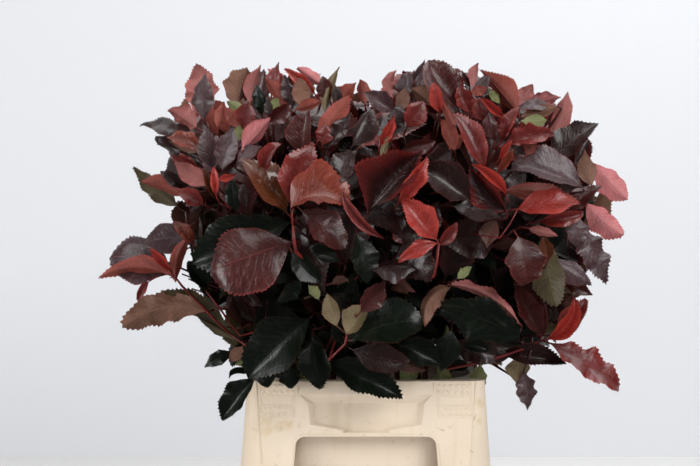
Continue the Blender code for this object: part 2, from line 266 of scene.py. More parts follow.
# %% The bucket's plastic
STAINS = ((264, 423), (273, 426), (286, 423), (268, 430), (480, 404), (481, 418), (330, 410), (390, 409))
STAIN_RADIUS = 0.0115
SCRATCHES = (((477, 413), (474, 419)), ((474, 426), (481, 431)), ((442, 441), (447, 452)), ((479, 421), (477, 425)),
             ((471, 450), (477, 453)), ((476, 447), (481, 454)), ((437, 427), (444, 430)), ((485, 441), (484, 446)))
SCRATCH_RADIUS = 0.0010
SCRATCH_STEPS = 12


def cream_plastic():
    finish = Finish("cream plastic", Specular_IOR_Level=0.45)
    cloudy = finish.noise(0.09)
    runs = finish.noise(0.022, detail=4.0, place=finish.stretched(1, 1, 0.12))
    specks = finish.noise(0.010, detail=6.0)
    colour = finish.mix(cloudy.step(0.40, 0.75) * 0.30, linear(229, 212, 191), linear(208, 188, 159))
    colour = finish.mix(runs.step(0.55, 0.78) * 0.30, colour, linear(196, 172, 136))
    colour = finish.mix(specks.step(0.62, 0.74) * 0.30, colour, linear(172, 146, 110))
    stained = finish.near(on_front(*STAINS[0]), STAIN_RADIUS)
    for spot in STAINS[1:]:
        stained = stained.larger(finish.near(on_front(*spot), STAIN_RADIUS))
    colour = finish.mix(stained * specks.step(0.40, 0.66) * 0.45, colour, linear(206, 180, 128))
    scored = finish.near(on_front(*SCRATCHES[0][0]), SCRATCH_RADIUS)
    for start, end in SCRATCHES:
        for step in range(SCRATCH_STEPS + 1):
            place = on_front(*start).lerp(on_front(*end), step / SCRATCH_STEPS)
            scored = scored.larger(finish.near(place, SCRATCH_RADIUS))
    colour = finish.mix(scored * 0.75 * specks.step(0.30, 0.55), colour, linear(132, 104, 78))
    finish.feed("Base Color", colour)
    finish.feed("Roughness", 0.34 + 0.16 * cloudy + 0.06 * specks)
    finish.bump(finish.noise(0.0016, detail=2.0) + runs * 0.8 - scored * 2, 0.00015, 0.5)
    return finish.material


CREAM = cream_plastic()
print("made", CREAM.name)


# %% Making meshes from points
def piece(name, points, faces, finish, smooth=True):
    """A new mesh object with one finish."""
    mesh = bpy.data.meshes.new(name)
    mesh.from_pydata([tuple(p) for p in points], [], faces)
    mesh.validate()
    mesh.materials.append(finish)
    mesh.polygons.foreach_set("use_smooth", [smooth] * len(mesh.polygons))
    made = bpy.data.objects.new(name, mesh)
    bpy.context.scene.collection.objects.link(made)
    return made


def lofted(rings, closed=True):
    """Points and faces of a skin through rings of equally many points, with its ends capped."""
    count = len(rings[0])
    points = [point for ring in rings for point in ring]
    faces = [(r * count + k, r * count + (k + 1) % count, (r + 1) * count + (k + 1) % count, (r + 1) * count + k)
             for r in range(len(rings) - 1) for k in range(count if closed else count - 1)]
    if closed:
        faces += [tuple(reversed(range(count))), tuple(range((len(rings) - 1) * count, len(rings) * count))]
    return points, faces


def outward(made):
    """Turns all faces of a closed mesh outwards."""
    shape = bmesh.new()
    shape.from_mesh(made.data)
    bmesh.ops.recalc_face_normals(shape, faces=shape.faces)
    shape.to_mesh(made.data)
    shape.free()
    return made


# %% [markdown]
# The bucket is one moulding, so it is made as one skin of level rings: up the inside of the tub, over the rim, and
# round both faces of the skirt. The rings are rounded rectangles whose corners open out from the rim to the foot.
# A low field in the middle of each side, the card pockets and the windows are then added or cut with Booleans, and a
# small bevel gives every edge the soft moulded radius.

# %% The skin of the bucket
CORNER_STEPS = 14


def rounded_rectangle(half_x, half_y, corner, steps=CORNER_STEPS):
    """Corner arcs of a rectangle, anticlockwise from its +X +Y corner, as (x, y) pairs."""
    points = []
    for quarter, (sx, sy) in enumerate(((1, 1), (-1, 1), (-1, -1), (1, -1))):
        for step in range(steps + 1):
            angle = math.radians(90 * (quarter + step / steps))
            points.append((sx * (half_x - corner) + corner * math.cos(angle),
                           sy * (half_y - corner) + corner * math.sin(angle)))
    return points


def wall_ring(height, inset, corner, slope):
    """A level ring of a wall that is inset at the rim, and runs outwards by its slope as it drops."""
    grown = slope * (BUCKET_HEIGHT - height) - inset
    flat = rounded_rectangle(RIM_HALF_X + grown, RIM_HALF_Y + grown, corner)
    return [Vector((x, y, height)) for x, y in flat]


def bucket_rings():
    under_rim = BUCKET_HEIGHT - WALL
    top_corner = RIM_CORNER + (SKIRT_FOOT_CORNER - RIM_CORNER) * WALL / BUCKET_HEIGHT
    return [
        wall_ring(FLOOR_THICKNESS, RIM_WIDTH, TUB_CORNER - WALL, -TUB_TAPER),
        wall_ring(BUCKET_HEIGHT, RIM_WIDTH, TUB_CORNER - WALL, -TUB_TAPER),
        wall_ring(BUCKET_HEIGHT, 0.0, RIM_CORNER, SKIRT_FLARE),
        wall_ring(0.0, 0.0, SKIRT_FOOT_CORNER, SKIRT_FLARE),
        wall_ring(0.0, WALL, SKIRT_FOOT_CORNER - WALL, SKIRT_FLARE),
        wall_ring(under_rim, WALL, top_corner - WALL, SKIRT_FLARE),
        wall_ring(under_rim, RIM_WIDTH - WALL, TUB_CORNER, -TUB_TAPER),
        wall_ring(0.0, RIM_WIDTH - WALL, TUB_CORNER, -TUB_TAPER),
    ]


bucket = outward(piece("bucket_shell", *lofted(bucket_rings()), CREAM, smooth=False))
print("bucket rings:", len(bucket_rings()), "points:", len(bucket.data.vertices))


# %% Outlines of the window, the card pocket and the raised field
WINDOW_TO_CORNER = 0.0583
WINDOW_DROP = 0.0647
WINDOW_FOOT = 0.070
WINDOW_CORNER = 0.010
WINDOW_DEPTH = 0.016
POCKET_DEPTH = 0.0080
POCKET_MOUTH = ((0.0757, 0.0167), (0.0669, 0.0267), (0.0650, 0.0502), (0.0267, 0.0570), (0.0267, 0.0600))
POCKET_BACK = ((0.0611, 0.0268), (0.0608, 0.0280), (0.0600, 0.0493), (0.0229, 0.0558), (0.0229, 0.0592))
BLOCK_FACE = ((0.0800, 0.0130), (0.0700, 0.0540), (0.0310, 0.0625))
BLOCK_BACK = ((0.0700, 0.0225), (0.0660, 0.0530), (0.0290, 0.0622))
FIELD_HEIGHT = 0.0012
FIELD_SLOPE = 0.0100  # how much wider the field's foot is, buried in the wall
FIELD_DROPS = (0.0008, 0.0300, 0.0500, 0.0570, 0.0640, 0.0710, 0.0780, 0.1800, 0.2600, 0.3400)


def mirrored(half):
    """An outline from its right half, listed from the top down."""
    return list(half) + [(-across, drop) for across, drop in reversed(half)]


def window_half(side, drop):
    """Half the width of a side's window at a drop. Its sides lean out with the skirt."""
    wide = SIDES[side][1] - WINDOW_TO_CORNER
    return wide + SKIRT_FLARE * (drop - WINDOW_DROP)


def window_outline(side, margin=0.0, steps=8):
    """(across, drop) round a window, wider by a margin."""
    wide = SIDES[side][1] - WINDOW_TO_CORNER
    drop_foot = BUCKET_HEIGHT - WINDOW_FOOT
    flat = rounded_rectangle(wide + margin, (drop_foot - WINDOW_DROP) / 2 + margin, WINDOW_CORNER + margin, steps)
    middle = (WINDOW_DROP + drop_foot) / 2
    return [(x * (1 + SKIRT_FLARE * (middle + d - WINDOW_DROP) / wide), middle + d) for x, d in flat]


def flat_half(side, drop):
    """Half the width of the flat part of a side at a drop, between its rounded corners."""
    corner = RIM_CORNER + (SKIRT_FOOT_CORNER - RIM_CORNER) * drop / BUCKET_HEIGHT
    return SIDES[side][1] + SKIRT_FLARE * drop - corner


def field_outline(side, wider=0.0):
    """(across, drop) round the raised field: straight beside the pocket, and then opening out round the window."""
    half = []
    for drop in FIELD_DROPS:
        opened = min(max((drop - 0.050) / 0.028, 0.0), 1.0)
        wanted = window_half(side, drop) - 0.0020 + 0.0125 * opened**1.5
        half.append((min(wanted, flat_half(side, drop) - FIELD_SLOPE - 0.001) + wider, drop))
    return mirrored(half)


print("window from", WINDOW_DROP, "m below the rim; field half width", round(field_outline(0)[0][0], 4))


# %% Adding the field, and cutting the windows and the card pockets
def change_by(body, tool, operation):
    """Unites the body with a tool, or cuts the tool out of it, and removes the tool."""
    change = body.modifiers.new("change", "BOOLEAN")
    change.operation = operation
    change.object = tool
    graph = bpy.context.evaluated_depsgraph_get()
    mesh = bpy.data.meshes.new_from_object(body.evaluated_get(graph))
    body.modifiers.clear()
    body.data = mesh
    bpy.data.objects.remove(tool)


def slab(side, near_outline, far_outline, near, far):
    """A solid between two outlines at two depths in one side's wall."""
    rings = [[on_skirt(side, x, d, near) for x, d in near_outline],
             [on_skirt(side, x, d, far) for x, d in far_outline]]
    return outward(piece("tool", *lofted(rings), CREAM))


for side in range(4):
    change_by(bucket, slab(side, field_outline(side), field_outline(side, FIELD_SLOPE), -FIELD_HEIGHT, WALL / 2), "UNION")
    if side % 2 == 0:
        beyond = [(2 * x - back_x, 2 * d - back_d) for (x, d), (back_x, back_d) in zip(POCKET_MOUTH, POCKET_BACK)]
        change_by(bucket, slab(side, mirrored(BLOCK_FACE), mirrored(BLOCK_BACK), WALL / 2, POCKET_DEPTH + WALL), "UNION")
        change_by(bucket, slab(side, mirrored(beyond), mirrored(POCKET_BACK), -POCKET_DEPTH, POCKET_DEPTH), "DIFFERENCE")
    hole = window_outline(side)
    change_by(bucket, slab(side, hole, hole, -WINDOW_DEPTH, WINDOW_DEPTH / 2), "DIFFERENCE")
print("bucket faces after cutting:", len(bucket.data.polygons))

# %% [markdown]
# Around each window runs a raised bead, which stiffens the cut edge, and beside the card pocket sit two label pads
# with rows of small round dots. They are thin, so they are laid on the skirt as pieces of their own instead of being
# cut into it: a bead is a strip with a rounded section, and a dot is a shallow dome.


# %% Beads round the windows
def swept_bead(side, outline, width, height, steps=6):
    """A closed bead of half-round section along an outline on one side of the skirt."""
    count = len(outline)
    points = []
    for k in range(count):
        (xa, da), (x, d), (xb, db) = outline[k - 1], outline[k], outline[(k + 1) % count]
        along = Vector((xb - xa, db - da)).normalized()
        out = Vector((along.y, -along.x))
        for step in range(steps + 1):
            angle = math.pi * step / steps
            shift = out * (math.cos(angle) * width / 2)
            points.append(on_skirt(side, x + shift.x, d + shift.y, 0.0002 - math.sin(angle) * height))
    span = steps + 1
    faces = [(k * span + s, ((k + 1) % count) * span + s, ((k + 1) % count) * span + s + 1, k * span + s + 1)
             for k in range(count) for s in range(steps)]
    return points, faces


def joined(name, parts, finish, smooth=True):
    """One mesh from several (points, faces)."""
    points, faces = [], []
    for some_points, some_faces in parts:
        start = len(points)
        points += list(some_points)
        faces += [tuple(start + k for k in face) for face in some_faces]
    return piece(name, points, faces, finish, smooth)


beads = outward(joined("window_beads",
                       [swept_bead(side, window_outline(side, 0.0014), 0.0036, FIELD_HEIGHT + 0.0014)
                        for side in range(4)], CREAM))
print("bead faces:", len(beads.data.polygons))

# %% Label pads with their dots
PAD_LEFT, PAD_RIGHT = 0.0835, 0.1235
FIRST_DOT = 0.0862
DOTS = 6
DOT_PITCH = 0.0069
DOT_ROWS = (0.0060, 0.0132, 0.0315, 0.0385)
DOT_RADIUS = 0.0025
DOT_HEIGHT = 0.0011
BOX_TOP, BOX_FOOT = 0.0178, 0.0278
PAD_TOP, PAD_FOOT = 0.0014, 0.0426


def dome(side, across, drop, steps=10):
    """A shallow round dot on the skirt."""
    points = [on_skirt(side, across, drop, -DOT_HEIGHT)]
    for radius, height in ((0.66, 0.96), (0.86, 0.72), (1.0, -0.15)):
        for k in range(steps):
            angle = math.tau * k / steps
            points.append(on_skirt(side, across + DOT_RADIUS * radius * math.cos(angle),
                                   drop + DOT_RADIUS * radius * math.sin(angle), -DOT_HEIGHT * height))
    faces = [(0, 1 + k, 1 + (k + 1) % steps) for k in range(steps)]
    for ring in range(2):
        start = 1 + ring * steps
        faces += [(start + k, start + steps + k, start + steps + (k + 1) % steps, start + (k + 1) % steps)
                  for k in range(steps)]
    return points, faces


def rounded_box(left, right, top, foot, corner):
    """(across, drop) round a box with rounded corners."""
    return [((left + right) / 2 + x, (top + foot) / 2 + d)
            for x, d in rounded_rectangle(abs(right - left) / 2, (foot - top) / 2, corner, 4)]


def pad_parts(side, sign):
    """The dots of one pad, the raised frame of its bare label box, and the ridge around the pad."""
    parts = [dome(side, sign * (FIRST_DOT + DOT_PITCH * k), drop) for drop in DOT_ROWS for k in range(DOTS)]
    box = rounded_box(sign * (PAD_LEFT + 0.002), sign * (PAD_RIGHT - 0.001), BOX_TOP, BOX_FOOT, 0.0015)
    border = rounded_box(sign * PAD_LEFT, sign * PAD_RIGHT, PAD_TOP, PAD_FOOT, 0.0025)
    parts.append(swept_bead(side, box, 0.0013, 0.0007))
    parts.append(swept_bead(side, border, 0.0014, 0.0007))
    return parts


pads = outward(joined("label_pads",
                      [part for side in (0, 2) for sign in (-1, 1) for part in pad_parts(side, sign)], CREAM))
print("pad faces:", len(pads.data.polygons))

# %% Thin ridges down the skirt
SEAM = ((0.1284, 0.0010), (0.1216, 0.1000), (0.1055, 0.3380))
FIELD_EDGE = ((0.0797, 0.0020), (0.0780, 0.0300), (0.0766, 0.0580))
RIDGE_WIDTH = 0.0013
RIDGE_HEIGHT = 0.0008


def ridge(side, sign, line, width, height, steps=4):
    """A low ridge of half-round section along a line of (across, drop) points."""
    rings = []
    for across, drop in line:
        rings.append([on_skirt(side, sign * across + math.cos(math.pi * k / steps) * width / 2, drop,
                               0.0004 - math.sin(math.pi * k / steps) * (height + 0.0004))
                      for k in range(steps + 1)])
    return lofted(rings)


ridges = outward(joined("skirt_ridges",
                        [ridge(side, sign, line, RIDGE_WIDTH, RIDGE_HEIGHT)
                         for side in (0, 2) for sign in (-1, 1) for line in (SEAM, FIELD_EDGE)], CREAM))
print("ridge faces:", len(ridges.data.polygons))

# %% [markdown]
# The stems stand in the tub and lean out over its rim. Their curves are worked out as for the solids: each foot stands
# on the floor, and each top points along its foliage. Here they get more sides, and a bark with fine lengthways cracks
# and pale breathing pores.

# %% The crown's own measures
STEMS = 22
WIDEST_LEAN = math.radians(82)
GOLDEN_ANGLE = math.radians(137.5)
CORE_REACH = 0.100
CROWN_MIDDLE_X = 0.016
CROWN_HALF_X = 0.315
CROWN_HALF_Y = 0.325
CROWN_TOP = 0.374
CROWN_WAIST = 0.170
CROWN_CLOSES = 0.205
TOP_SQUARENESS = 4.0
FOOT_SQUARENESS = 2.0
OVERHANG = 0.066
SPRIG_TIPS = {"left_sprig": Vector((-0.239, -0.150, 0.138)), "right_sprig": Vector((0.214, -0.200, 0.055))}
RIM_MIDDLE = Vector((0, 0, BUCKET_HEIGHT))
FAN_FROM_RIM = Vector((0, 0, 0.020))
FAN_POINT = RIM_MIDDLE + FAN_FROM_RIM


def crown_share(point):
    """Below 1 if a point, measured from the middle of the rim, is inside the crown's outline."""
    rise = point.z - CROWN_WAIST
    flat = math.hypot((point.x - CROWN_MIDDLE_X) / CROWN_HALF_X, point.y / CROWN_HALF_Y)
    if rise > 0:
        return flat**TOP_SQUARENESS + (rise / (CROWN_TOP - CROWN_WAIST)) ** TOP_SQUARENESS
    return flat**FOOT_SQUARENESS + (-rise / CROWN_CLOSES) ** FOOT_SQUARENESS


def crown_reach(direction):
    """How far the crown's outline is from the fan point, by halving."""
    near, far = 0.0, CROWN_HALF_X + CROWN_HALF_Y
    for _ in range(24):
        middle = (near + far) / 2
        if crown_share(FAN_FROM_RIM + direction * middle) > 1:
            far = middle
        else:
            near = middle
    return near


def leader_tips():
    """The tip of each stem's leading shoot, measured from the fan point, by the name of its foliage."""
    named = {}
    for k in range(STEMS):
        rise = 1 - (k + 0.5) / STEMS * (1 - math.cos(WIDEST_LEAN))
        flat = math.sqrt(1 - rise * rise)
        direction = Vector((flat * math.cos(k * GOLDEN_ANGLE), flat * math.sin(k * GOLDEN_ANGLE), rise))
        named[f"{k + 1:02d}"] = direction * (crown_reach(direction) - OVERHANG)
    for sprig, tip in SPRIG_TIPS.items():
        from_fan = tip - FAN_FROM_RIM
        del named[min(named, key=lambda name: named[name].angle(from_fan))]
        named[sprig] = from_fan
    return named


TIPS = leader_tips()
missing = sorted(set(f"foliage_{name}" for name in TIPS) - set(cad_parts))
print("stems:", len(TIPS), "without a solid:", missing)


# %% Stems in the tub
def bark():
    finish = Finish("bark", Roughness=0.55)
    grain = finish.noise(0.004, detail=4.0, place=finish.stretched(1, 1, 0.2))
    pores = finish.noise(0.0022, detail=1.0)
    colour = finish.mix(grain.step(0.3, 0.7), linear(84, 40, 34), linear(126, 66, 54))
    colour = finish.mix(pores.step(0.68, 0.74) * 0.7, colour, linear(176, 140, 112))
    finish.feed("Base Color", colour)
    finish.bump(grain, 0.0006, 0.6)
    return finish.material


def tube(path, radii, sides, closed_ends=True):
    """Points and faces of a tube along a path, turned as little as it can be from ring to ring."""
    rings = []
    for k, centre in enumerate(path):
        ahead = (path[min(k + 1, len(path) - 1)] - path[max(k - 1, 0)]).normalized()
        reference = Vector((1, 0, 0)) if abs(ahead.x) < 0.8 else Vector((0, 1, 0))
        across = (reference - ahead * ahead.dot(reference)).normalized()
        rings.append([centre + Quaternion(ahead, math.tau * s / sides) @ across * radii[k] for s in range(sides)])
    return lofted(rings, closed_ends)


def stem_path(direction, steps=20):
    """A stem from the tub's floor to the end of its bare part."""
    mouth = Vector((direction.x * 0.100, direction.y * 0.135, 0))
    foot = mouth * 0.75 + Vector((0, 0, FLOOR_THICKNESS + 0.0003))
    low = mouth * 0.85 + Vector((0, 0, BUCKET_HEIGHT * 0.57))
    end = FAN_POINT + direction * CORE_REACH
    bend = end - direction * CORE_REACH / 3
    for step in range(steps + 1):
        t = step / steps
        s = 1 - t
        yield foot * s**3 + low * 3 * s * s * t + bend * 3 * s * t * t + end * t**3


BARK = bark()
stem_parts = []
for name, tip in TIPS.items():
    path = list(stem_path(tip.normalized()))
    stem_parts.append(tube(path, [0.0048 - 0.0018 * k / (len(path) - 1) for k in range(len(path))], 10))
stems = outward(joined("stems", stem_parts, BARK))
print("stem faces:", len(stems.data.polygons))

# %% [markdown]
# A photinia leaf is a long oval with a drawn-out tip, folded along its rib, arched and wavy, with fine forward-pointing
# teeth. All leaves share one grid of points: rows from base to tip, alternately a notch and a tooth, and a few columns
# from edge to edge. Each leaf bends that grid by its own numbers, for all leaves at once with numpy, so a thousand real
# leaves take a second to make. The underside is a second sheet just below the first, because its colour and its dull
# finish differ.

# %% The grid that every leaf shares
TEETH = 22
ROWS = 2 * TEETH + 1
COLUMNS = np.array([-1.0, -0.54, 0.0, 0.54, 1.0])
FINE_COLUMNS = np.array([-1.0, -0.72, -0.36, 0.0, 0.36, 0.72, 1.0])
BLADE_THICKNESS = 0.0003
TOOTH_DEPTH = 0.021  # of the leaf's length
TOOTH_LEAN = 0.85  # how far a tooth's point runs forward, in rows

along = np.linspace(0, 1, ROWS)
OUTLINE_AT = [0.0, 0.04, 0.10, 0.20, 0.33, 0.47, 0.60, 0.72, 0.82, 0.90, 0.955, 1.0]
BLUNT = [0.0, 0.09, 0.26, 0.57, 0.86, 1.00, 0.99, 0.88, 0.68, 0.40, 0.17, 0.0]
DRAWN_OUT = [0.0, 0.09, 0.28, 0.62, 0.93, 1.00, 0.90, 0.66, 0.36, 0.14, 0.06, 0.0]
blunt_half = np.interp(along, OUTLINE_AT, BLUNT)
drawn_half = np.interp(along, OUTLINE_AT, DRAWN_OUT)
is_tooth = (np.arange(ROWS) % 2 == 1) & (along > 0.08) & (along < 0.97)
print("points in a leaf:", ROWS * len(COLUMNS), "and in a fine one:", ROWS * len(FINE_COLUMNS))


# %% Bending the grid into leaves
def rows_of(leaves, key):
    return np.array([leaf[key] for leaf in leaves], float)


def unit(vectors):
    return vectors / np.linalg.norm(vectors, axis=-1, keepdims=True)


def bent_leaves(leaves, columns):
    """Points of all leaves, as an array by leaf, row, column and axis, and the way each point's skin faces.

    A leaf is a dict: base, direction, upper, length, width (a share of the length), point (0 blunt, 1 drawn out),
    fold (angle of each half), cup (how far the edges curve up), arch (downward bend), hook (extra bend at the tip),
    sweep (sideways bend), twist, wave (a share of the length), waves (a count) and phase.
    """
    number = {key: rows_of(leaves, key)[:, None] for key in
              ("length", "width", "point", "fold", "cup", "arch", "hook", "sweep", "twist", "wave", "waves", "phase")}
    direction = unit(rows_of(leaves, "direction"))
    upper = rows_of(leaves, "upper")
    upper = unit(upper - direction * np.sum(upper * direction, axis=1, keepdims=True))
    across = np.cross(direction, upper)

    near_tip = np.clip((along - 0.68) / 0.32, 0, 1)[None] ** 2
    dip = ((along - 0.5)[None] * number["arch"] + near_tip * number["hook"])[..., None]
    swing = ((along - 0.5)[None] * number["sweep"])[..., None]
    ahead = np.cos(swing) * direction[:, None] + np.sin(swing) * across[:, None]
    side = np.cos(swing) * across[:, None] - np.sin(swing) * direction[:, None]
    tangent = np.cos(dip) * ahead - np.sin(dip) * upper[:, None]
    normal = np.sin(dip) * ahead + np.cos(dip) * upper[:, None]
    roll = ((along - 0.4)[None] * number["twist"])[..., None]
    side, normal = np.cos(roll) * side + np.sin(roll) * normal, np.cos(roll) * normal - np.sin(roll) * side
    step = (number["length"] / (ROWS - 1))[..., None]
    middle = rows_of(leaves, "base")[:, None] + np.cumsum(tangent * step, axis=1) - tangent * step

    c = columns[None, None, :]
    off = np.abs(c)
    size = {key: value[..., None] for key, value in number.items()}
    body = blunt_half[None, :, None] * (1 - size["point"]) + drawn_half[None, :, None] * size["point"]
    run = math.tau * size["waves"] * along[None, :, None] + size["phase"]
    uneven = 1 + 0.35 * np.sin(9.1 * run + np.sign(c)) * np.cos(3.7 * run)
    teeth = off**6 * is_tooth[None, :, None] * uneven
    body = body * (1 + 3.0 * size["wave"] * np.sin(1.3 * run + 2.0 + np.sign(c) * 0.9))
    reach = body * off * size["width"] * size["length"] / 2 + teeth * TOOTH_DEPTH * size["length"]
    lifted = reach * np.sin(size["fold"]) * (1.15 - 0.35 * off)
    lifted = lifted + size["cup"] * body * c * c * size["width"] * size["length"] / 2
    ripple = np.sin(run + np.sign(c) * 1.3) + 0.30 * np.sin(2.3 * run + np.sign(c) * 0.7)
    lifted = lifted + ripple * size["wave"] * size["length"] * off**1.6 * body
    spread = reach * np.cos(size["fold"]) * np.sign(c)
    forward = teeth * TOOTH_LEAN * size["length"] / (ROWS - 1)
    points = (middle[:, :, None] + spread[..., None] * side[:, :, None] + lifted[..., None] * normal[:, :, None]
              + forward[..., None] * tangent[:, :, None])
    facing = np.cross(np.gradient(points, axis=2), np.gradient(points, axis=1))
    facing *= np.sign(np.sum(facing * normal[:, :, None], axis=-1, keepdims=True))
    return points, unit(facing + normal[:, :, None] * 1e-9)


# %% Making one mesh of many leaves
def grid_faces(columns):
    width = len(columns)
    return np.array([(r * width + c, r * width + c + 1, (r + 1) * width + c + 1, (r + 1) * width + c)
                     for r in range(ROWS - 1) for c in range(width - 1)])


def leaf_mesh(name, groups, finish, slot, underside=False):
    """One mesh from groups of leaves that share their columns, with a map of each leaf's length and width."""
    points, faces, places, start = [], [], [], 0
    for leaves, columns in groups:
        if not leaves:
            continue
        some, normals = bent_leaves(leaves, columns)
        some = some - normals * BLADE_THICKNESS if underside else some
        per_leaf = ROWS * len(columns)
        grid = grid_faces(columns)[:, [0, 3, 2, 1] if underside else [0, 1, 2, 3]]
        place = np.stack(np.broadcast_arrays(along[:, None], (columns[None, :] + 1) / 2), axis=-1).reshape(-1, 2)
        every = (grid[None] + (np.arange(len(leaves)) * per_leaf)[:, None, None]).reshape(-1)
        points.append(some.reshape(-1, 3))
        places.append(place[every % per_leaf])
        faces.append(every + start)
        start += len(leaves) * per_leaf
    points, faces, places = np.concatenate(points), np.concatenate(faces), np.concatenate(places)
    mesh = bpy.data.meshes.new(name)
    mesh.vertices.add(len(points))
    mesh.vertices.foreach_set("co", points.reshape(-1).astype(np.float32))
    mesh.loops.add(len(faces))
    mesh.loops.foreach_set("vertex_index", faces.astype(np.int32))
    mesh.polygons.add(len(faces) // 4)
    mesh.polygons.foreach_set("loop_start", np.arange(0, len(faces), 4, dtype=np.int32))
    mesh.polygons.foreach_set("use_smooth", np.ones(len(faces) // 4, bool))
    mesh.update(calc_edges=True)
    mesh.uv_layers.new(name="leaf").data.foreach_set("uv", places.astype(np.float32).reshape(-1))
    mesh.materials.append(finish)
    made = bpy.data.objects.new(name, mesh)
    bpy.context.scene.collection.objects.link(made)
    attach(made, "root")
    return made


# %% [markdown]
# The upper side of a leaf is waxy, so it mirrors the pale studio in broad soft highlights that break up over the puffed
# skin between its side veins. The map on each leaf gives the distance along it and across it, which is all that a vein
# pattern needs: a line down the middle, and slanting lines that leave it towards the tip. The wax is the shader's coat,
# and the toothed edge is a little lighter and redder than the rest.


# %% Leaf finishes
def leaf_finish(name, colour, vein_colour, margin, painted_backlight=0.0, is_back=False, coat=0.30, relief=0.8):
    """A leaf's skin. Its fourth argument is how far the margin's colour runs in: painted light, as where light comes
    through a young leaf.
    """
    finish = Finish(name, Specular_IOR_Level=0.2 + relief / 4, Coat_Weight=0.0 if is_back else coat,
                    Coat_Roughness=0.16 if coat < 0.5 else 0.07)
    place = finish.node("ShaderNodeUVMap", {"uv_map": "leaf"})
    run = finish.node("ShaderNodeSeparateXYZ", None, {0: place}, output="X")
    cross = finish.node("ShaderNodeSeparateXYZ", None, {0: place}, output="Y")
    off_rib = abs(cross - 0.5) * 2
    rib = 1 - off_rib.step(0.012, 0.045)
    edge = off_rib.step(0.93, 0.99)
    patches = finish.noise(0.035, detail=4.0)
    vein = run * 12 - off_rib * 2.4
    off_vein = abs(vein.fraction() - 0.5)
    side_veins = 1 - off_vein.step(0.01, 0.08)
    puffed = off_vein.step(0.0, 0.5)
    beside_veins = finish.node("ShaderNodeCombineXYZ", None, {0: vein, 1: off_rib * 0.7, 2: patches * 6})
    streaks = finish.noise(0.35, detail=3.0, place=beside_veins)
    blisters = finish.noise(0.011, detail=2.0)
    network = finish.noise(0.0032, detail=2.0)
    shade = finish.mix(patches.step(0.32, 0.72) * 0.55, colour, tuple(c * 0.45 for c in colour))
    # Painted light: the margin's colour runs in from the edge and stands for light that comes through the leaf.
    shade = finish.mix(off_rib.step(0.35, 1.0) * painted_backlight, shade, margin)
    shade = finish.mix(streaks.step(0.42, 0.70) * 0.42, shade, vein_colour)
    shade = finish.mix(side_veins * (0.45 if is_back else 0.16), shade, vein_colour)
    shade = finish.mix(rib * 0.7, shade, vein_colour)
    shade = finish.mix(edge * 0.55, shade, margin)
    finish.feed("Base Color", shade)
    if is_back:
        finish.feed("Roughness", 0.48 + 0.14 * network)
        finish.bump(side_veins * 0.6 + rib * 1.4 - puffed * 0.15 + network * 0.3 + blisters * 0.6, 0.0006, 0.7)
    else:
        finish.feed("Roughness", 0.12 + 0.16 * patches + 0.26 * streaks)
        finish.bump(blisters * 1.2 + streaks * 1.3 + puffed * 0.12 - rib * 0.9 + network * 0.25, 0.0009, relief)
    return finish.material


TOPS = {
    "old_green": leaf_finish("old green leaf", linear(11, 17, 11), linear(30, 36, 24), linear(40, 30, 20),
                             coat=0.12, relief=0.38),
    "dusky": leaf_finish("dusky leaf", linear(36, 18, 17), linear(62, 36, 32), linear(86, 36, 32)),
    # Painted sheen: the lilac leaf is coloured a pale greyish lilac for the broad sheen on a dark leaf.
    "lilac": leaf_finish("lilac leaf with painted sheen", linear(66, 44, 47), linear(104, 80, 84), linear(116, 56, 56), coat=0.2),
    # The ember leaf is darker than the burgundy one as painted shade, and its red margin is painted light coming
    # through it.
    "ember": leaf_finish("ember leaf", linear(30, 9, 9), linear(64, 18, 17), linear(128, 34, 30), 0.5),
    "burgundy": leaf_finish("burgundy leaf", linear(60, 20, 18), linear(92, 40, 36), linear(122, 44, 38)),
    "wine": leaf_finish("wine leaf", linear(90, 23, 20), linear(130, 48, 42), linear(156, 52, 46), 0.25),
    "red": leaf_finish("red leaf", linear(140, 34, 28), linear(172, 66, 56), linear(178, 62, 52), 0.5),
    "terracotta": leaf_finish("terracotta leaf", linear(98, 38, 25), linear(140, 70, 54), linear(142, 56, 42), 0.4),
    "copper": leaf_finish("copper leaf", linear(78, 36, 13), linear(120, 62, 30), linear(112, 46, 24), 0.2, coat=0.9,
                          relief=1.0),
}
BACKS = {
    "green_back": leaf_finish("green leaf back", linear(112, 116, 74), linear(146, 148, 98), linear(132, 124, 80),
                              is_back=True),
    "tan_back": leaf_finish("tan leaf back", linear(116, 100, 72), linear(146, 126, 94), linear(138, 92, 70),
                            is_back=True),
    "moss_back": leaf_finish("moss leaf back", linear(68, 58, 36), linear(98, 86, 58), linear(100, 70, 50),
                             is_back=True),
    "olive_back": leaf_finish("olive leaf back", linear(114, 78, 62), linear(140, 100, 82), linear(138, 74, 64),
                              is_back=True),
    "russet_back": leaf_finish("russet leaf back", linear(74, 42, 34), linear(102, 62, 52), linear(120, 56, 48),
                               is_back=True),
    # Partly their own pink and partly painted light: the pink and rose backs are lighter for the sheen and the light
    # that comes through them.
    "rose_back": leaf_finish("rose leaf back", linear(180, 104, 106), linear(204, 134, 134), linear(188, 84, 86), 0.3,
                             is_back=True),
    "pink_back": leaf_finish("pink leaf back", linear(156, 92, 88), linear(180, 116, 108), linear(172, 84, 80), 0.3,
                             is_back=True),
    "red_back": leaf_finish("red leaf back", linear(126, 58, 48), linear(158, 82, 68), linear(156, 66, 56), 0.4,
                            is_back=True),
}
BACK_OF = {"old_green": "moss_back", "dusky": "russet_back", "lilac": "olive_back", "ember": "russet_back",
           "burgundy": "olive_back", "wine": "red_back", "red": "red_back", "terracotta": "red_back",
           "copper": "tan_back"}
TOP_OVER = {"green_back": "old_green", "moss_back": "old_green", "tan_back": "dusky", "olive_back": "dusky",
            "russet_back": "dusky", "rose_back": "wine", "pink_back": "burgundy", "red_back": "wine"}
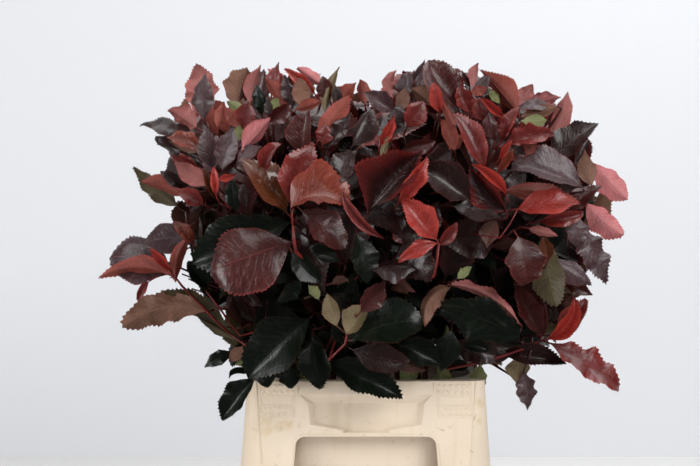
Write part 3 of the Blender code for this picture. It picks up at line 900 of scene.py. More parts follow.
SLOT_OF = {name: "foliage_red" for name in (*TOPS, *BACKS)}
SLOT_OF.update({name: "foliage_burgundy" for name in ("burgundy", "wine", "ember", "olive_back", "tan_back")})
SLOT_OF.update({name: "foliage_dark" for name in
                ("old_green", "dusky", "lilac", "green_back", "moss_back", "russet_back")})
print("leaf finishes:", len(TOPS) + len(BACKS))

# %% [markdown]
# Each mass of big leaves is grown again by its own rule: a leading shoot and four side shoots that fan out from the
# stem's end, with leaves in a spiral, old and open below, young and upright at the tip, and all turned a little to the
# light. Real leaves are smaller than the solids' leaves, so there are more of them. Old leaves low in the bunch are
# green-black, those in the middle burgundy, and the young ones at the tips red.

# %% Shoots of each mass
SEED = 12
SIDE_SHOOTS = 4
SPRIG_SIDE_SHOOTS = 2
SIDE_SPREAD = math.radians(12)
LEAF_LENGTH = 0.112
YOUNG_SHARE = 0.70
LEADER_LEAVES = 15
SIDE_LEAVES = 10
LEAFY_SHARE = 0.94
OLD_ANGLE = math.radians(68)
YOUNG_ANGLE = math.radians(20)
DROOP = 0.50
TURN_TO_LIGHT = 0.35
PETIOLE = 0.011


def shoots_of(name, tip, rng):
    """(foot, tip, leaf count) of the leading shoot and its side shoots, measured from the fan point."""
    direction = tip.normalized()
    root = direction * CORE_REACH
    yield root, tip, LEADER_LEAVES
    side_count = SPRIG_SIDE_SHOOTS if name in SPRIG_TIPS else SIDE_SHOOTS
    first_turn = rng.uniform(0, math.tau)
    for k in range(side_count):
        turn = first_turn + math.tau * k / side_count
        hinge = Quaternion(direction, turn) @ direction.orthogonal().normalized()
        aim = Quaternion(hinge, SIDE_SPREAD * rng.uniform(0.85, 1.15)) @ direction
        foot = root.lerp(tip, 0.10 + 0.35 * k / side_count)
        if name in SPRIG_TIPS:
            reach = tip.length * 0.85
        else:
            reach = (crown_reach(aim) - OVERHANG) * rng.uniform(0.94, 1.03)
        yield foot, aim * reach, SIDE_LEAVES


def clear_of_bucket(points):
    """True if every point, in the part's frame, is above the rim or outside the skirt."""
    for point in points:
        drop = BUCKET_HEIGHT + 0.003 - point.z
        grown = 0.003 + SKIRT_FLARE * drop
        if drop > 0 and abs(point.x) < RIM_HALF_X + grown and abs(point.y) < RIM_HALF_Y + grown:
            return False
    return True


def outwardness(point):
    """How near to the crown's outline a point of the part is: 0 deep inside, 1 on the outline."""
    from_fan = point - FAN_POINT
    share = from_fan.length / crown_reach(from_fan.normalized())
    return min(max((share - 0.60) / 0.40, 0.0), 1.0)


def tint_for(leaf, age, rng):
    """The finish of a leaf's upper side. Only young leaves high and far out in the crown are red."""
    middle = leaf["base"] + leaf["direction"] * leaf["length"] / 2
    # Leaves deep inside the crown score lower and get darker tints: partly for their age, partly as painted shade.
    score = 0.50 * (middle.z - BUCKET_HEIGHT) / CROWN_TOP + 0.45 * outwardness(middle) + 0.15 * (1 - age)
    score += rng.gauss(0, 0.10)
    if score < 0.44:
        return "old_green"
    if score < 0.64:
        return "dusky"
    if score < 0.72:
        return "lilac" if rng.random() < 0.2 else "ember"
    if score < 0.88:
        return "burgundy"
    if score < 1.02:
        return "wine"
    return "copper" if rng.random() < 0.15 else "red"


def leaf_at(root, direction, upper, age, rng):
    """One leaf from the place where its petiole leaves the shoot."""
    upper = Quaternion(direction, rng.gauss(0, 0.30)) @ upper
    return {
        "root": root, "base": root + direction * PETIOLE * (0.5 + 0.5 * age), "direction": direction, "upper": upper,
        "length": LEAF_LENGTH * (YOUNG_SHARE + (1 - YOUNG_SHARE) * age) * rng.uniform(0.86, 1.08),
        "width": rng.uniform(0.46, 0.60), "point": rng.uniform(0.1, 1.0),
        "fold": rng.uniform(0.08, 0.50) + 0.50 * (1 - age) * rng.random(),
        "cup": rng.uniform(-0.35, 0.35), "arch": rng.uniform(0.0, 0.9) * (0.5 + 0.5 * age),
        "hook": rng.uniform(-0.2, 0.9), "sweep": rng.gauss(0, 0.22), "twist": rng.gauss(0, 0.45),
        "wave": rng.uniform(0.012, 0.045), "waves": rng.uniform(1.2, 3.0), "phase": rng.uniform(0, math.tau),
    }


def spiral_leaf(foot, tip, share, turn, age, rng):
    """One leaf in the spiral round a shoot."""
    axis = ((tip - foot).normalized() + Vector((0, 0, TURN_TO_LIGHT))).normalized()
    out = Quaternion(axis, turn) @ axis.orthogonal().normalized()
    opening = YOUNG_ANGLE + (OLD_ANGLE - YOUNG_ANGLE) * age + rng.uniform(-0.2, 0.2)
    direction = axis * math.cos(opening) + out * math.sin(opening)
    direction = (direction - Vector((0, 0, DROOP * age * math.sin(opening)))).normalized()
    upper = (axis - direction * axis.dot(direction)).normalized()
    return leaf_at(FAN_POINT + foot.lerp(tip, share), direction, upper, age, rng)


def outline_points(leaf):
    """A few points of a leaf, to test its place."""
    direction, upper = leaf["direction"], leaf["upper"]
    across = direction.cross(upper) * leaf["length"] * leaf["width"] / 2
    sink = upper * (-math.sin(leaf["arch"] * 0.3) * leaf["length"])
    for share in (0.25, 0.5, 0.75, 1.0):
        middle = leaf["base"] + direction * leaf["length"] * share + sink * share * share
        spread = across * np.interp(share, OUTLINE_AT, BLUNT)
        yield from (middle, middle + spread, middle - spread)


leaves, twigs = [], []
for index, (name, tip) in enumerate(TIPS.items()):
    rng = random.Random(SEED * 100 + index)
    for foot, end, count in shoots_of(name, tip, rng):
        twigs.append((foot + FAN_POINT, end + FAN_POINT))
        first_turn = rng.uniform(0, math.tau)
        for k in range(count):
            age = 1 - k / (count - 1)
            share = 1 - LEAFY_SHARE * age**1.15
            leaf = spiral_leaf(foot, end, share, first_turn + k * GOLDEN_ANGLE, age, rng)
            leaf["top"] = tint_for(leaf, age, rng)
            leaf["back"] = BACK_OF[leaf["top"]]
            if clear_of_bucket(outline_points(leaf)):
                leaves.append(leaf)
print("leaves:", len(leaves), "shoots:", len(twigs))

# %% [markdown]
# The lowest leaves hang from the bare stems just above the mouth of the bucket. They are old and nearly black, they
# hide the stems, and a few of them fold over the rim.

# %% Old leaves low on the stems
LOW_SEED = 31
LOW_LEAVES = 7
rng = random.Random(LOW_SEED)
low_leaves = []
for name, tip in TIPS.items():
    path = list(stem_path(tip.normalized()))
    for k in range(LOW_LEAVES):
        root = path[-1 - rng.randrange(6)]
        outwards = Vector((tip.x, tip.y, 0)).normalized()
        outwards = Quaternion((0, 0, 1), rng.uniform(-1.1, 1.1)) @ outwards
        direction = (outwards + Vector((0, 0, rng.uniform(-0.35, 0.45)))).normalized()
        upper = Vector((0, 0, 1)) - direction * direction.z
        leaf = leaf_at(root, direction, upper.normalized(), 1.0, rng)
        leaf["top"] = "dusky" if rng.random() < 0.25 else "old_green"
        leaf["back"] = BACK_OF[leaf["top"]]
        if root.z > BUCKET_HEIGHT and clear_of_bucket(outline_points(leaf)):
            low_leaves.append(leaf)
leaves += low_leaves
print("low leaves:", len(low_leaves))

# %% [markdown]
# The leaves that a viewer knows this bunch by are placed one by one. Each is given by the pixel of its stalk, the pixel
# of its tip, and how many pixels wide its two halves look, which settles how far it is folded and turned away. Its depth
# is where that line of sight meets the crown's outline, and where its real length is longer than it looks, it leans
# towards the camera. It still has to be held by the plant, so a petiole and a side twig tie it to the nearest shoot.

# %% Placing a leaf by its pixels
SHOWN_SEED = 7
UNDER_OUTLINE = 0.012
USUAL_WIDTH = 0.46  # of the length
UP, RIGHTWARDS, LEFTWARDS = (0, -1), (1, 0), (-1, 0)  # in the picture
shown_rng = random.Random(SHOWN_SEED)
shown_leaves = []


def front_depth(across, down):
    """The depth at which a line of sight first meets the crown's outline, or comes closest to it."""
    closest, least = 0.0, math.inf
    for step in range(160):
        depth = -0.36 + 0.004 * step
        share = crown_share(seen_at(across, down, depth) - RIM_MIDDLE)
        if share < 1:
            return depth
        if share < least:
            closest, least = depth, share
    return closest


def settle(leaf, end):
    """Turns and stretches a leaf until its tip is at a point, whatever its bends do."""
    for _ in range(3):
        points = bent_leaves([leaf], COLUMNS)[0][0]
        reached, wanted = Vector(points[-1, 2] - points[0, 2]), end - leaf["base"]
        turn = reached.rotation_difference(wanted)
        leaf["direction"], leaf["upper"] = turn @ leaf["direction"], turn @ leaf["upper"]
        leaf["length"] *= wanted.length / reached.length


BUNCH_MIDDLE = Vector((0, 0, 0.48))


def shown(finish, stalk, tip, left, right, faces=None, via=None, length=0.0, depth=None, forward=0.0, away=False,
          hub=None, **shape):
    """One leaf that the photograph shows. A finish of the underside turns its back to the camera.

    left and right are the pixels that its halves look wide, seen from the stalk towards the tip. They are folded up
    like a V unless faces tells where the whole leaf turns. via is the pixel of its rib's middle, length its real
    length where it is foreshortened, forward brings it nearer, away leans its tip back, and hub is the point where its
    petiole leaves the twig.
    """
    if depth is None:
        depth = front_depth((stalk[0] + tip[0]) / 2, (stalk[1] + tip[1]) / 2) + UNDER_OUTLINE
    depth -= forward
    flat = (seen_at(*tip, depth) - seen_at(*stalk, depth)).length
    real = max(length, flat)
    lean = math.sqrt(real * real - flat * flat) / 2 * (1 if away else -1)
    base, end = seen_at(*stalk, depth - lean), seen_at(*tip, depth + lean)
    direction = (end - base).normalized()
    run = Vector((tip[0] - stalk[0], tip[1] - stalk[1]))
    real_run = run.length * real / flat
    half = max(USUAL_WIDTH * real_run / 2, *(side * (1.12 if faces else 1.02) for side in (left, right)))
    turned_left, turned_right = math.acos(left / half), math.acos(right / half)
    if faces and run.y * faces[0] - run.x * faces[1] > 0:
        turned_left *= -1
    elif faces:
        turned_right *= -1
    to_camera = CAMERA_PLACE - base
    to_camera = (to_camera - direction * to_camera.dot(direction)).normalized()
    roll = (turned_left - turned_right) / 2
    is_back = finish in BACKS
    facing = to_camera * math.cos(roll) * (-1 if is_back else 1) + direction.cross(to_camera) * math.sin(roll)
    inward = (BUNCH_MIDDLE - base).normalized() + Vector((0, 0.3, 0))
    leaf = {
        "root": hub or base + (inward - direction).normalized() * PETIOLE, "base": base, "direction": direction,
        "upper": facing, "length": real, "width": 2 * half / real_run, "point": shown_rng.uniform(0.5, 1.3),
        "fold": (turned_left + turned_right) / 2, "cup": shown_rng.uniform(-0.45, 0.45),
        "arch": shown_rng.uniform(0.2, 0.9), "hook": shown_rng.uniform(-0.3, 1.3), "sweep": shown_rng.gauss(0, 0.12),
        "twist": shown_rng.gauss(0, 0.30), "wave": shown_rng.uniform(0.014, 0.036),
        "waves": shown_rng.uniform(1.4, 3.0), "phase": shown_rng.uniform(0, math.tau),
        "top": TOP_OVER[finish] if is_back else finish, "back": finish if is_back else BACK_OF[finish],
    }
    if via:
        off = Vector((via[0] - stalk[0], via[1] - stalk[1]))
        off_left = (run.y * off.x - run.x * off.y) / run.length
        leaf["sweep"] = off_left * 8 / run.length * (-1 if is_back else 1)
    leaf.update(shape)
    settle(leaf, end)
    shown_leaves.append(leaf)


print("outline in front of the rim's middle:", front_depth(366, 300))

# %% [markdown]
# Low on the left a sprig reaches out of the crown on a red stem, with an olive leaf that shows its back below it and a
# narrow folded red one above. The stems that show are drawn through pixels too, and end in the plant.

# %% Stems that show
seen_stems = []


def seen_stem(pixels, depth, thickness=0.0015):
    """A red stem through pixels, from its inner end to its tip. Gives the tip."""
    points = [seen_at(across, down, depth) for across, down in pixels]
    seen_stems.append((points, thickness))
    return points[-1]


# %% The left sprig
LEFT = -0.150
sprig = seen_stem(((246, 346), (228, 332), (213, 318), (196, 300), (182, 286), (173, 274)), LEFT)
seen_stem(((240, 336), (231, 324), (218, 306), (206, 291)), LEFT + 0.01, 0.0013)
shown("moss_back", (228, 328), (163, 291), 4, 18, depth=LEFT + 0.016, point=0.2)
shown("moss_back", (240, 341), (197, 316), 7, 2, depth=LEFT + 0.008)
shown("lilac", (192, 238), (143, 243), 14, 16, UP, depth=LEFT + 0.030, point=0.0)
shown("lilac", (174, 274), (109, 259), 13, 29, UP, depth=LEFT + 0.034, hub=sprig, point=0.0, wave=0.02)
shown("olive_back", (206, 312), (122, 328), 14, 15, via=(163, 308), depth=LEFT, point=0.0, wave=0.032, waves=3.2)
shown("wine", (149, 281), (137, 300), 3, 4, depth=LEFT, hub=seen_at(158, 276, LEFT))
shown("red_back", (174, 278), (98, 279), 5, 10, via=(136, 267), depth=LEFT - 0.010, hub=sprig)
shown("red", (171, 271), (150, 248), 4, 4, depth=LEFT - 0.004, hub=sprig)
shown("red_back", (176, 283), (190, 236), 6, 6, via=(177, 257), depth=LEFT - 0.010, hub=sprig)
shown("terracotta", (195, 245), (173, 221), 4, 9, depth=LEFT - 0.004)
shown("old_green", (208, 288), (187, 262), 8, 10, depth=LEFT + 0.02)
print("left sprig:", len(shown_leaves))

# %% [markdown]
# Low on the right the second sprig ends in a fan of narrow young leaves: an upright red one, a long wavy one that runs
# out to the right, and two that hang.

# %% The right sprig
RIGHT = -0.200
sprig = seen_stem(((448, 369), (478, 363), (500, 357), (520, 350), (541, 341)), RIGHT)
shown("burgundy", (543, 338), (530, 284), 6, 10, depth=RIGHT + 0.016, hub=sprig)
shown("wine", (556, 338), (587, 299), 10, 9, depth=RIGHT + 0.012, hub=sprig)
shown("dusky", (500, 353), (567, 364), 12, 7, depth=RIGHT + 0.014, hub=sprig)
shown("dusky", (519, 350), (472, 363), 5, 10, depth=RIGHT + 0.012)
shown("burgundy", (541, 337), (513, 281), 9, 12, depth=RIGHT + 0.006, hub=sprig, wave=0.03)
shown("tan_back", (519, 356), (517, 384), 11, 12, depth=RIGHT + 0.004, hub=seen_at(524, 349, RIGHT))
shown("lilac", (523, 371), (527, 411), 8, 11, RIGHTWARDS, depth=RIGHT, wave=0.04, waves=3.0, hub=seen_at(533, 346, RIGHT))
shown("wine", (548, 342), (619, 392), 17, 7, UP, depth=RIGHT - 0.008, wave=0.035, waves=3.2, hub=sprig, point=0.3)
shown("red", (547, 339), (574, 296), 6, 8, via=(568, 322), depth=RIGHT - 0.010, hub=sprig)
print("with the right sprig:", len(shown_leaves))

# %% [markdown]
# The crown's top left corner holds upright young leaves that show their pink backs, and broad ones with a blue-grey
# sheen.

# %% The top left corner
shown("pink_back", (203, 120), (196, 63), 15, 15, UP, forward=-0.010)
shown("lilac", (204, 120), (205, 73), 14, 8, UP, forward=0.004, wave=0.02)
shown("red_back", (217, 128), (224, 101), 6, 6, forward=-0.006)
shown("pink_back", (197, 128), (167, 111), 5, 14, forward=-0.004)
shown("dusky", (204, 157), (155, 137), 7, 7, forward=-0.010)
shown("dusky", (197, 132), (139, 127), 6, 10, UP)
shown("olive_back", (201, 152), (168, 141), 5, 5, forward=0.004)
shown("terracotta", (202, 149), (166, 138), 3, 13, forward=0.010)
shown("wine", (200, 168), (168, 152), 7, 6, forward=-0.006)
shown("pink_back", (207, 186), (174, 161), 10, 9, forward=0.004)
shown("dusky", (190, 188), (160, 171), 6, 6, forward=-0.008)
shown("moss_back", (178, 207), (133, 166), 10, 8, via=(156, 188), forward=-0.016, hook=0.8)
shown("red_back", (186, 196), (140, 182), 6, 12, forward=0.002)
shown("wine", (204, 205), (176, 190), 7, 8)
shown("copper", (217, 199), (204, 168), 4, 4, forward=0.012)
shown("red", (216, 196), (214, 166), 4, 4, forward=0.016)
shown("red", (218, 180), (236, 174), 3, 4, forward=0.014)
shown("lilac", (213, 170), (205, 124), 11, 9, UP, forward=0.008, wave=0.015)
shown("lilac", (222, 171), (233, 126), 11, 11, UP, forward=0.012, wave=0.015)
shown("old_green", (236, 212), (232, 176), 9, 8, forward=0.002)
shown("dusky", (246, 208), (243, 183), 6, 6, forward=0.006)
shown("wine", (243, 128), (248, 102), 10, 10, forward=-0.008)
shown("red_back", (240, 129), (223, 106), 6, 7, forward=0.006)
shown("green_back", (237, 142), (240, 124), 6, 5, forward=-0.004)
shown("rose_back", (241, 152), (271, 117), 15, 3, forward=0.010)
shown("lilac", (237, 162), (262, 146), 7, 7, UP, forward=0.004)
shown("wine", (262, 173), (283, 144), 10, 4, forward=0.010)
shown("copper", (287, 213), (240, 158), 10, 22, UP, via=(265, 187), forward=0.020)
print("with the top left:", len(shown_leaves))

# %% [markdown]
# Along the top the leaves stand up against the wall with drawn-out hooked tips, and the light that comes through the
# red and pink ones is painted into their colour, lighter towards their margins.

# %% The top, left of the middle
shown("lilac", (290, 110), (284, 74), 5, 8, UP, forward=-0.010)
shown("wine", (271, 96), (279, 61), 8, 4, forward=-0.012, hook=-0.6)
shown("olive_back", (236, 108), (247, 67), 17, 6, forward=-0.004, hook=-0.6, point=0.2)
shown("pink_back", (250, 104), (261, 64), 10, 4, forward=-0.008, hook=-0.6)
shown("green_back", (246, 113), (227, 101), 5, 5)
shown("red_back", (285, 109), (264, 79), 5, 10)
shown("old_green", (262, 116), (256, 85), 6, 6, forward=0.008)
shown("dusky", (270, 117), (268, 98), 5, 4, forward=0.008)
shown("green_back", (272, 114), (277, 97), 5, 5, forward=0.004)
shown("burgundy", (268, 124), (290, 104), 7, 8, forward=-0.004)
shown("red", (316, 95), (284, 69), 3, 7)
shown("rose_back", (323, 86), (297, 68), 4, 6, forward=-0.012)
shown("olive_back", (302, 108), (300, 77), 9, 9, forward=0.004)
shown("burgundy", (330, 100), (323, 76), 9, 6, forward=-0.004)
shown("tan_back", (325, 114), (340, 66), 5, 5, via=(329, 88), forward=0.004)
shown("red_back", (332, 107), (357, 82), 10, 8, forward=-0.004)
shown("red_back", (365, 103), (360, 79), 6, 7, forward=-0.008)
shown("red_back", (295, 110), (322, 102), 7, 4, forward=0.008)
shown("dusky", (338, 104), (335, 84), 5, 5)
shown("burgundy", (302, 156), (311, 109), 18, 6, forward=0.004)
shown("wine", (322, 145), (326, 124), 8, 10, forward=0.008)
shown("red_back", (317, 142), (350, 95), 9, 11, via=(331, 119), forward=0.014, point=0.2)
shown("dusky", (326, 148), (352, 112), 9, 7, forward=0.004)
shown("dusky", (352, 147), (374, 109), 8, 14, UP, forward=0.012)
shown("lilac", (394, 112), (363, 92), 8, 10, forward=-0.004)
print("with the top left of the middle:", len(shown_leaves))

# %% The top, right of the middle
shown("lilac", (404, 98), (409, 71), 9, 7, forward=-0.010)
shown("lilac", (411, 92), (425, 59), 5, 5, forward=-0.006, hook=-0.5)
shown("pink_back", (393, 98), (397, 70), 6, 4, via=(389, 83), forward=-0.004, hook=-0.5)
shown("olive_back", (398, 112), (405, 86), 6, 8)
shown("olive_back", (434, 106), (410, 89), 4, 14, forward=-0.002)
shown("dusky", (392, 132), (400, 104), 8, 9)
shown("wine", (407, 128), (424, 101), 10, 12, forward=0.006)
shown("burgundy", (459, 111), (428, 60), 4, 26, via=(440, 88), forward=0.006, point=0.1, cup=-0.3)
shown("red", (440, 113), (434, 83), 6, 6, forward=0.010)
shown("red_back", (456, 131), (441, 99), 4, 5, forward=0.008)
shown("wine", (470, 113), (458, 87), 8, 9)
shown("wine", (484, 122), (477, 98), 8, 8, forward=-0.004)
shown("burgundy", (470, 88), (462, 70), 2, 3, forward=-0.012)
shown("lilac", (476, 100), (490, 74), 7, 5, forward=-0.010)
shown("pink_back", (474, 88), (479, 63), 7, 3, forward=-0.010)
shown("red_back", (470, 93), (488, 88), 5, 5, forward=0.004)
shown("red_back", (519, 113), (479, 69), 6, 16)
shown("green_back", (500, 104), (489, 88), 4, 4, forward=0.003)
shown("pink_back", (516, 107), (533, 84), 7, 8, forward=0.004)
shown("red", (505, 118), (480, 97), 4, 4, forward=0.010)
shown("burgundy", (495, 142), (488, 112), 9, 6, forward=0.004)
shown("wine", (501, 143), (520, 107), 9, 3, forward=0.008)
shown("rose_back", (526, 103), (562, 97), 11, 3, forward=-0.006)
shown("lilac", (551, 106), (518, 108), 4, 7, UP, forward=-0.002)
shown("olive_back", (559, 106), (520, 117), 6, 7, forward=0.004)
shown("green_back", (548, 120), (520, 121), 9, 5)
shown("pink_back", (551, 136), (568, 91), 8, 10, via=(561, 117), forward=0.006, hook=-0.5)
shown("wine", (503, 146), (555, 134), 12, 6, forward=0.014, wave=0.04, waves=3.0)
shown("red_back", (526, 156), (536, 138), 6, 5, forward=0.008)
shown("red_back", (455, 151), (441, 120), 6, 8, forward=0.008)
shown("red_back", (449, 152), (464, 134), 5, 5, forward=0.010)
shown("dusky", (431, 171), (453, 149), 11, 9, forward=0.002)
shown("burgundy", (402, 150), (436, 141), 6, 8)
shown("wine", (485, 169), (452, 113), 5, 17, via=(468, 138), forward=0.020, point=0.1)
shown("terracotta", (497, 174), (513, 149), 4, 4, forward=0.008)
shown("red", (499, 160), (512, 140), 3, 3, forward=0.010)
print("with the top:", len(shown_leaves))

# %% [markdown]
# In the middle hang the largest leaves, deep burgundy with a grey gloss, around a few that catch the light in pure red.

# %% The middle, left half
fork = seen_stem(((296, 252), (294, 240), (293, 226)), -0.325, 0.0020)
shown("old_green", (291, 222), (192, 264), 18, 28, forward=-0.010, point=0.0)
shown("old_green", (205, 240), (222, 222), 8, 6)
shown("burgundy", (293, 242), (210, 275), 31, 31, UP, forward=0.014, arch=0.6, cup=-0.2, point=0.0, wave=0.015)
shown("dusky", (240, 288), (263, 306), 5, 6, forward=0.010)
shown("old_green", (292, 251), (322, 281), 8, 12, forward=0.006)
shown("old_green", (302, 280), (277, 302), 10, 6, forward=0.010)
shown("wine", (290, 204), (313, 141), 15, 22, via=(297, 172), forward=0.010, hub=fork)
shown("terracotta", (291, 208), (348, 206), 21, 12, UP, via=(316, 196), forward=0.022, hub=fork)
shown("dusky", (333, 185), (358, 151), 15, 10, UP, forward=0.008)
shown("burgundy", (301, 210), (346, 249), 17, 14, UP, forward=0.010, point=0.2)
shown("wine", (342, 190), (385, 239), 6, 4, via=(357, 220), forward=0.012)
shown("old_green", (357, 234), (368, 284), 14, 12, RIGHTWARDS, forward=0.004)
shown("old_green", (340, 262), (309, 246), 7, 8, forward=0.002)
shown("dusky", (371, 270), (417, 270), 7, 15, UP, forward=0.006)
shown("burgundy", (360, 313), (386, 280), 9, 12, forward=0.004)
shown("russet_back", (331, 284), (349, 281), 6, 2, forward=0.002)
print("with the left of the middle:", len(shown_leaves))

# %% The middle, right half
fork = seen_stem(((434, 276), (437, 262), (439, 244)), -0.330, 0.0015)
seen_stem(((500, 238), (510, 224), (518, 209)), -0.335, 0.0008)
shown("red", (380, 147), (395, 114), 4, 6, forward=0.012)
shown("pink_back", (361, 146), (382, 136), 5, 3, forward=0.012)
shown("tan_back", (381, 160), (388, 136), 3, 3, forward=0.014)
shown("ember", (368, 214), (424, 150), 30, 16, forward=0.004, cup=0.6, wave=0.03)
shown("red", (398, 203), (427, 157), 6, 10, forward=0.014)
shown("dusky", (470, 200), (425, 170), 14, 18, forward=0.002, point=0.1)
shown("dusky", (428, 238), (438, 200), 9, 9)
shown("red", (437, 240), (401, 199), 11, 15, forward=0.022, hub=fork)
shown("red", (438, 243), (398, 262), 7, 6, via=(420, 247), forward=0.022, hub=fork, wave=0.05)
shown("wine", (440, 246), (457, 222), 5, 6, forward=0.016, hub=fork)
shown("pink_back", (448, 180), (441, 162), 3, 5, forward=0.010)
shown("ember", (507, 212), (470, 165), 16, 8, forward=0.006)
shown("red", (507, 196), (471, 164), 3, 7, via=(491, 178), forward=0.014)
shown("dusky", (453, 206), (502, 219), 7, 14, UP, forward=0.010)
shown("russet_back", (496, 219), (487, 249), 6, 12, forward=0.006)
shown("lilac", (583, 187), (510, 171), 10, 19, UP, forward=0.012, fold=0.3, wave=0.02, point=0.2)
shown("dusky", (547, 160), (599, 123), 15, 13, UP, forward=0.008)
shown("red_back", (503, 190), (580, 205), 12, 5, forward=0.014)
shown("red", (517, 209), (580, 203), 14, 11, UP, forward=0.022)
shown("olive_back", (592, 187), (585, 148), 12, 6, forward=0.004)
shown("burgundy", (565, 212), (602, 186), 11, 7, forward=0.010)
shown("wine", (538, 222), (583, 212), 5, 8, forward=0.008)
shown("rose_back", (594, 163), (628, 200), 9, 15, forward=-0.004, point=0.1)
shown("rose_back", (586, 203), (624, 235), 9, 14, forward=0.002, point=0.1)
shown("lilac", (573, 214), (576, 247), 9, 10, RIGHTWARDS, forward=0.014)
shown("lilac", (576, 222), (606, 285), 10, 14, RIGHTWARDS, forward=0.002, wave=0.04, waves=3.0)
shown("pink_back", (528, 228), (558, 236), 5, 4, forward=0.012)
shown("copper", (548, 262), (543, 235), 5, 7, forward=0.006)
shown("moss_back", (541, 237), (557, 307), 13, 17, forward=0.004, point=0.1)
shown("burgundy", (518, 236), (523, 286), 18, 19, RIGHTWARDS, forward=0.014, wave=0.025, waves=2.6, point=0.0)
shown("lilac", (553, 257), (592, 286), 9, 12, UP, forward=0.006)
shown("burgundy", (561, 274), (593, 295), 6, 8, forward=0.002)
shown("green_back", (457, 279), (472, 266), 5, 4, forward=0.004)
print("with the right of the middle:", len(shown_leaves))

# %% [markdown]
# Low down everything is nearly black, apart from a pair of tan leaves on a red twig and the pale backs that show over
# the rim. Dark leaves fold over the front rim, and one hangs at its left end.

# %% Low down and over the rim
INSIDE_RIM = 0.020 - RIM_HALF_Y
OVER_RIM = -0.022 - RIM_HALF_Y
fork = seen_stem(((329, 360), (337, 352), (345, 344), (347, 334)), -0.290, 0.0013)
shown("green_back", (319, 300), (308, 285), 3, 7)
shown("tan_back", (337, 327), (327, 293), 10, 7, forward=0.012, hub=fork)
shown("tan_back", (346, 335), (368, 305), 15, 8, forward=0.016, hub=fork)
shown("old_green", (521, 342), (430, 303), 24, 12, via=(478, 309), forward=0.004)
shown("pink_back", (520, 324), (446, 285), 3, 8, via=(487, 296), forward=0.008, wave=0.05, waves=3.0)
shown("olive_back", (450, 288), (425, 327), 9, 5, via=(428, 300), forward=0.008, wave=0.04)
shown("old_green", (352, 341), (423, 326), 20, 18, UP, via=(384, 329), forward=0.014, point=0.0)
shown("old_green", (310, 318), (248, 379), 21, 28, forward=0.012, point=0.3, arch=0.2, cup=0.1, twist=-0.1)
shown("old_green", (312, 337), (322, 389), 13, 15, forward=0.006)
shown("old_green", (326, 362), (403, 399), 18, 14, depth=OVER_RIM, arch=0.2, cup=0.2, twist=0.1, point=0.9,
      wave=0.03)
shown("old_green", (256, 378), (222, 421), 8, 15, depth=OVER_RIM, arch=0.3, cup=0.2, point=0.8, wave=0.03)
shown("old_green", (233, 352), (204, 368), 6, 8)
shown("olive_back", (243, 346), (229, 362), 6, 6)
shown("old_green", (252, 374), (229, 379), 3, 2, via=(240, 370))
shown("old_green", (286, 360), (291, 389), 10, 9, depth=OVER_RIM + 0.02)
shown("old_green", (262, 363), (268, 388), 10, 10, depth=OVER_RIM + 0.02)
shown("green_back", (293, 357), (261, 373), 6, 5, depth=OVER_RIM + 0.03)
shown("green_back", (251, 359), (235, 364), 5, 4)
shown("green_back", (318, 392), (303, 365), 10, 10, depth=INSIDE_RIM)
shown("green_back", (441, 394), (440, 360), 7, 8, depth=INSIDE_RIM, wave=0.07)
shown("green_back", (405, 392), (411, 358), 8, 8, depth=INSIDE_RIM)
shown("green_back", (477, 392), (480, 364), 8, 8, depth=INSIDE_RIM)
shown("green_back", (443, 350), (446, 325), 3, 5, depth=INSIDE_RIM)
shown("green_back", (437, 362), (464, 347), 9, 5, depth=INSIDE_RIM - 0.01, wave=0.06)
shown("russet_back", (384, 356), (426, 371), 9, 7, forward=0.004)
shown("dusky", (352, 350), (410, 362), 12, 14, forward=-0.010)
shown("old_green", (398, 344), (442, 366), 14, 12, forward=-0.014)
shown("old_green", (452, 330), (440, 372), 12, 12, forward=-0.020)
shown("dusky", (452, 346), (500, 360), 14, 12, forward=-0.012)
shown("old_green", (462, 346), (489, 351), 8, 5)
shown("old_green", (470, 366), (446, 368), 5, 6)
print("placed leaves:", len(shown_leaves))

# %% [markdown]
# A placed leaf isn't alone on its side twig. Each side twig carries a few older leaves behind it, which fill the bunch
# out when it is seen from the side.

# %% Leaves on the side twigs
TWIG_SEED = 53
TWIG_LEAVES = 2


def held_at(point):
    """Where the side twig that holds a placed leaf leaves the nearest shoot."""
    nearest, least = None, math.inf
    for foot, end in twigs:
        run = end - foot
        share = min(max((point - foot).dot(run) / run.length_squared, 0.05), 1.0)
        gap = (point - foot.lerp(end, share)).length
        if gap < least:
            least = gap
            nearest = foot.lerp(end, max(share - 0.7 * gap / run.length, 0.0))
    return nearest


def bowed(start, end):
    """The middle point of a side twig, which sags a little."""
    return start.lerp(end, 0.6) - Vector((0, 0, 0.10 * (end - start).length))


rng = random.Random(TWIG_SEED)
hubs = list({tuple(round(v, 4) for v in leaf["root"]): leaf["root"] for leaf in shown_leaves}.values())
twig_leaves = []
for hub in hubs:
    held = held_at(hub)
    axis = (hub - held).normalized()
    for k in range(TWIG_LEAVES):
        place = held.lerp(bowed(held, hub), 0.9) if k else bowed(held, hub).lerp(hub, 0.5)
        out = Quaternion(axis, rng.uniform(0, math.tau)) @ axis.orthogonal().normalized()
        direction = (axis * rng.uniform(0.1, 0.6) + out + Vector((0, 0, 0.2))).normalized()
        upper = (axis - direction * axis.dot(direction)).normalized()
        leaf = leaf_at(place, direction, upper, rng.uniform(0.4, 0.9), rng)
        leaf["top"] = tint_for(leaf, 1.0, rng)
        leaf["back"] = BACK_OF[leaf["top"]]
        if clear_of_bucket(outline_points(leaf)):
            twig_leaves.append(leaf)
leaves += twig_leaves
print("leaves on the side twigs:", len(twig_leaves))

# %% [markdown]
# A grown leaf gives way where it would stand in front of a placed one, or where it would stick out of the bunch's
# outline in the picture. Both tests are made in pixels: the placed leaves are splatted into a small depth picture, and
# the outline is a mask.

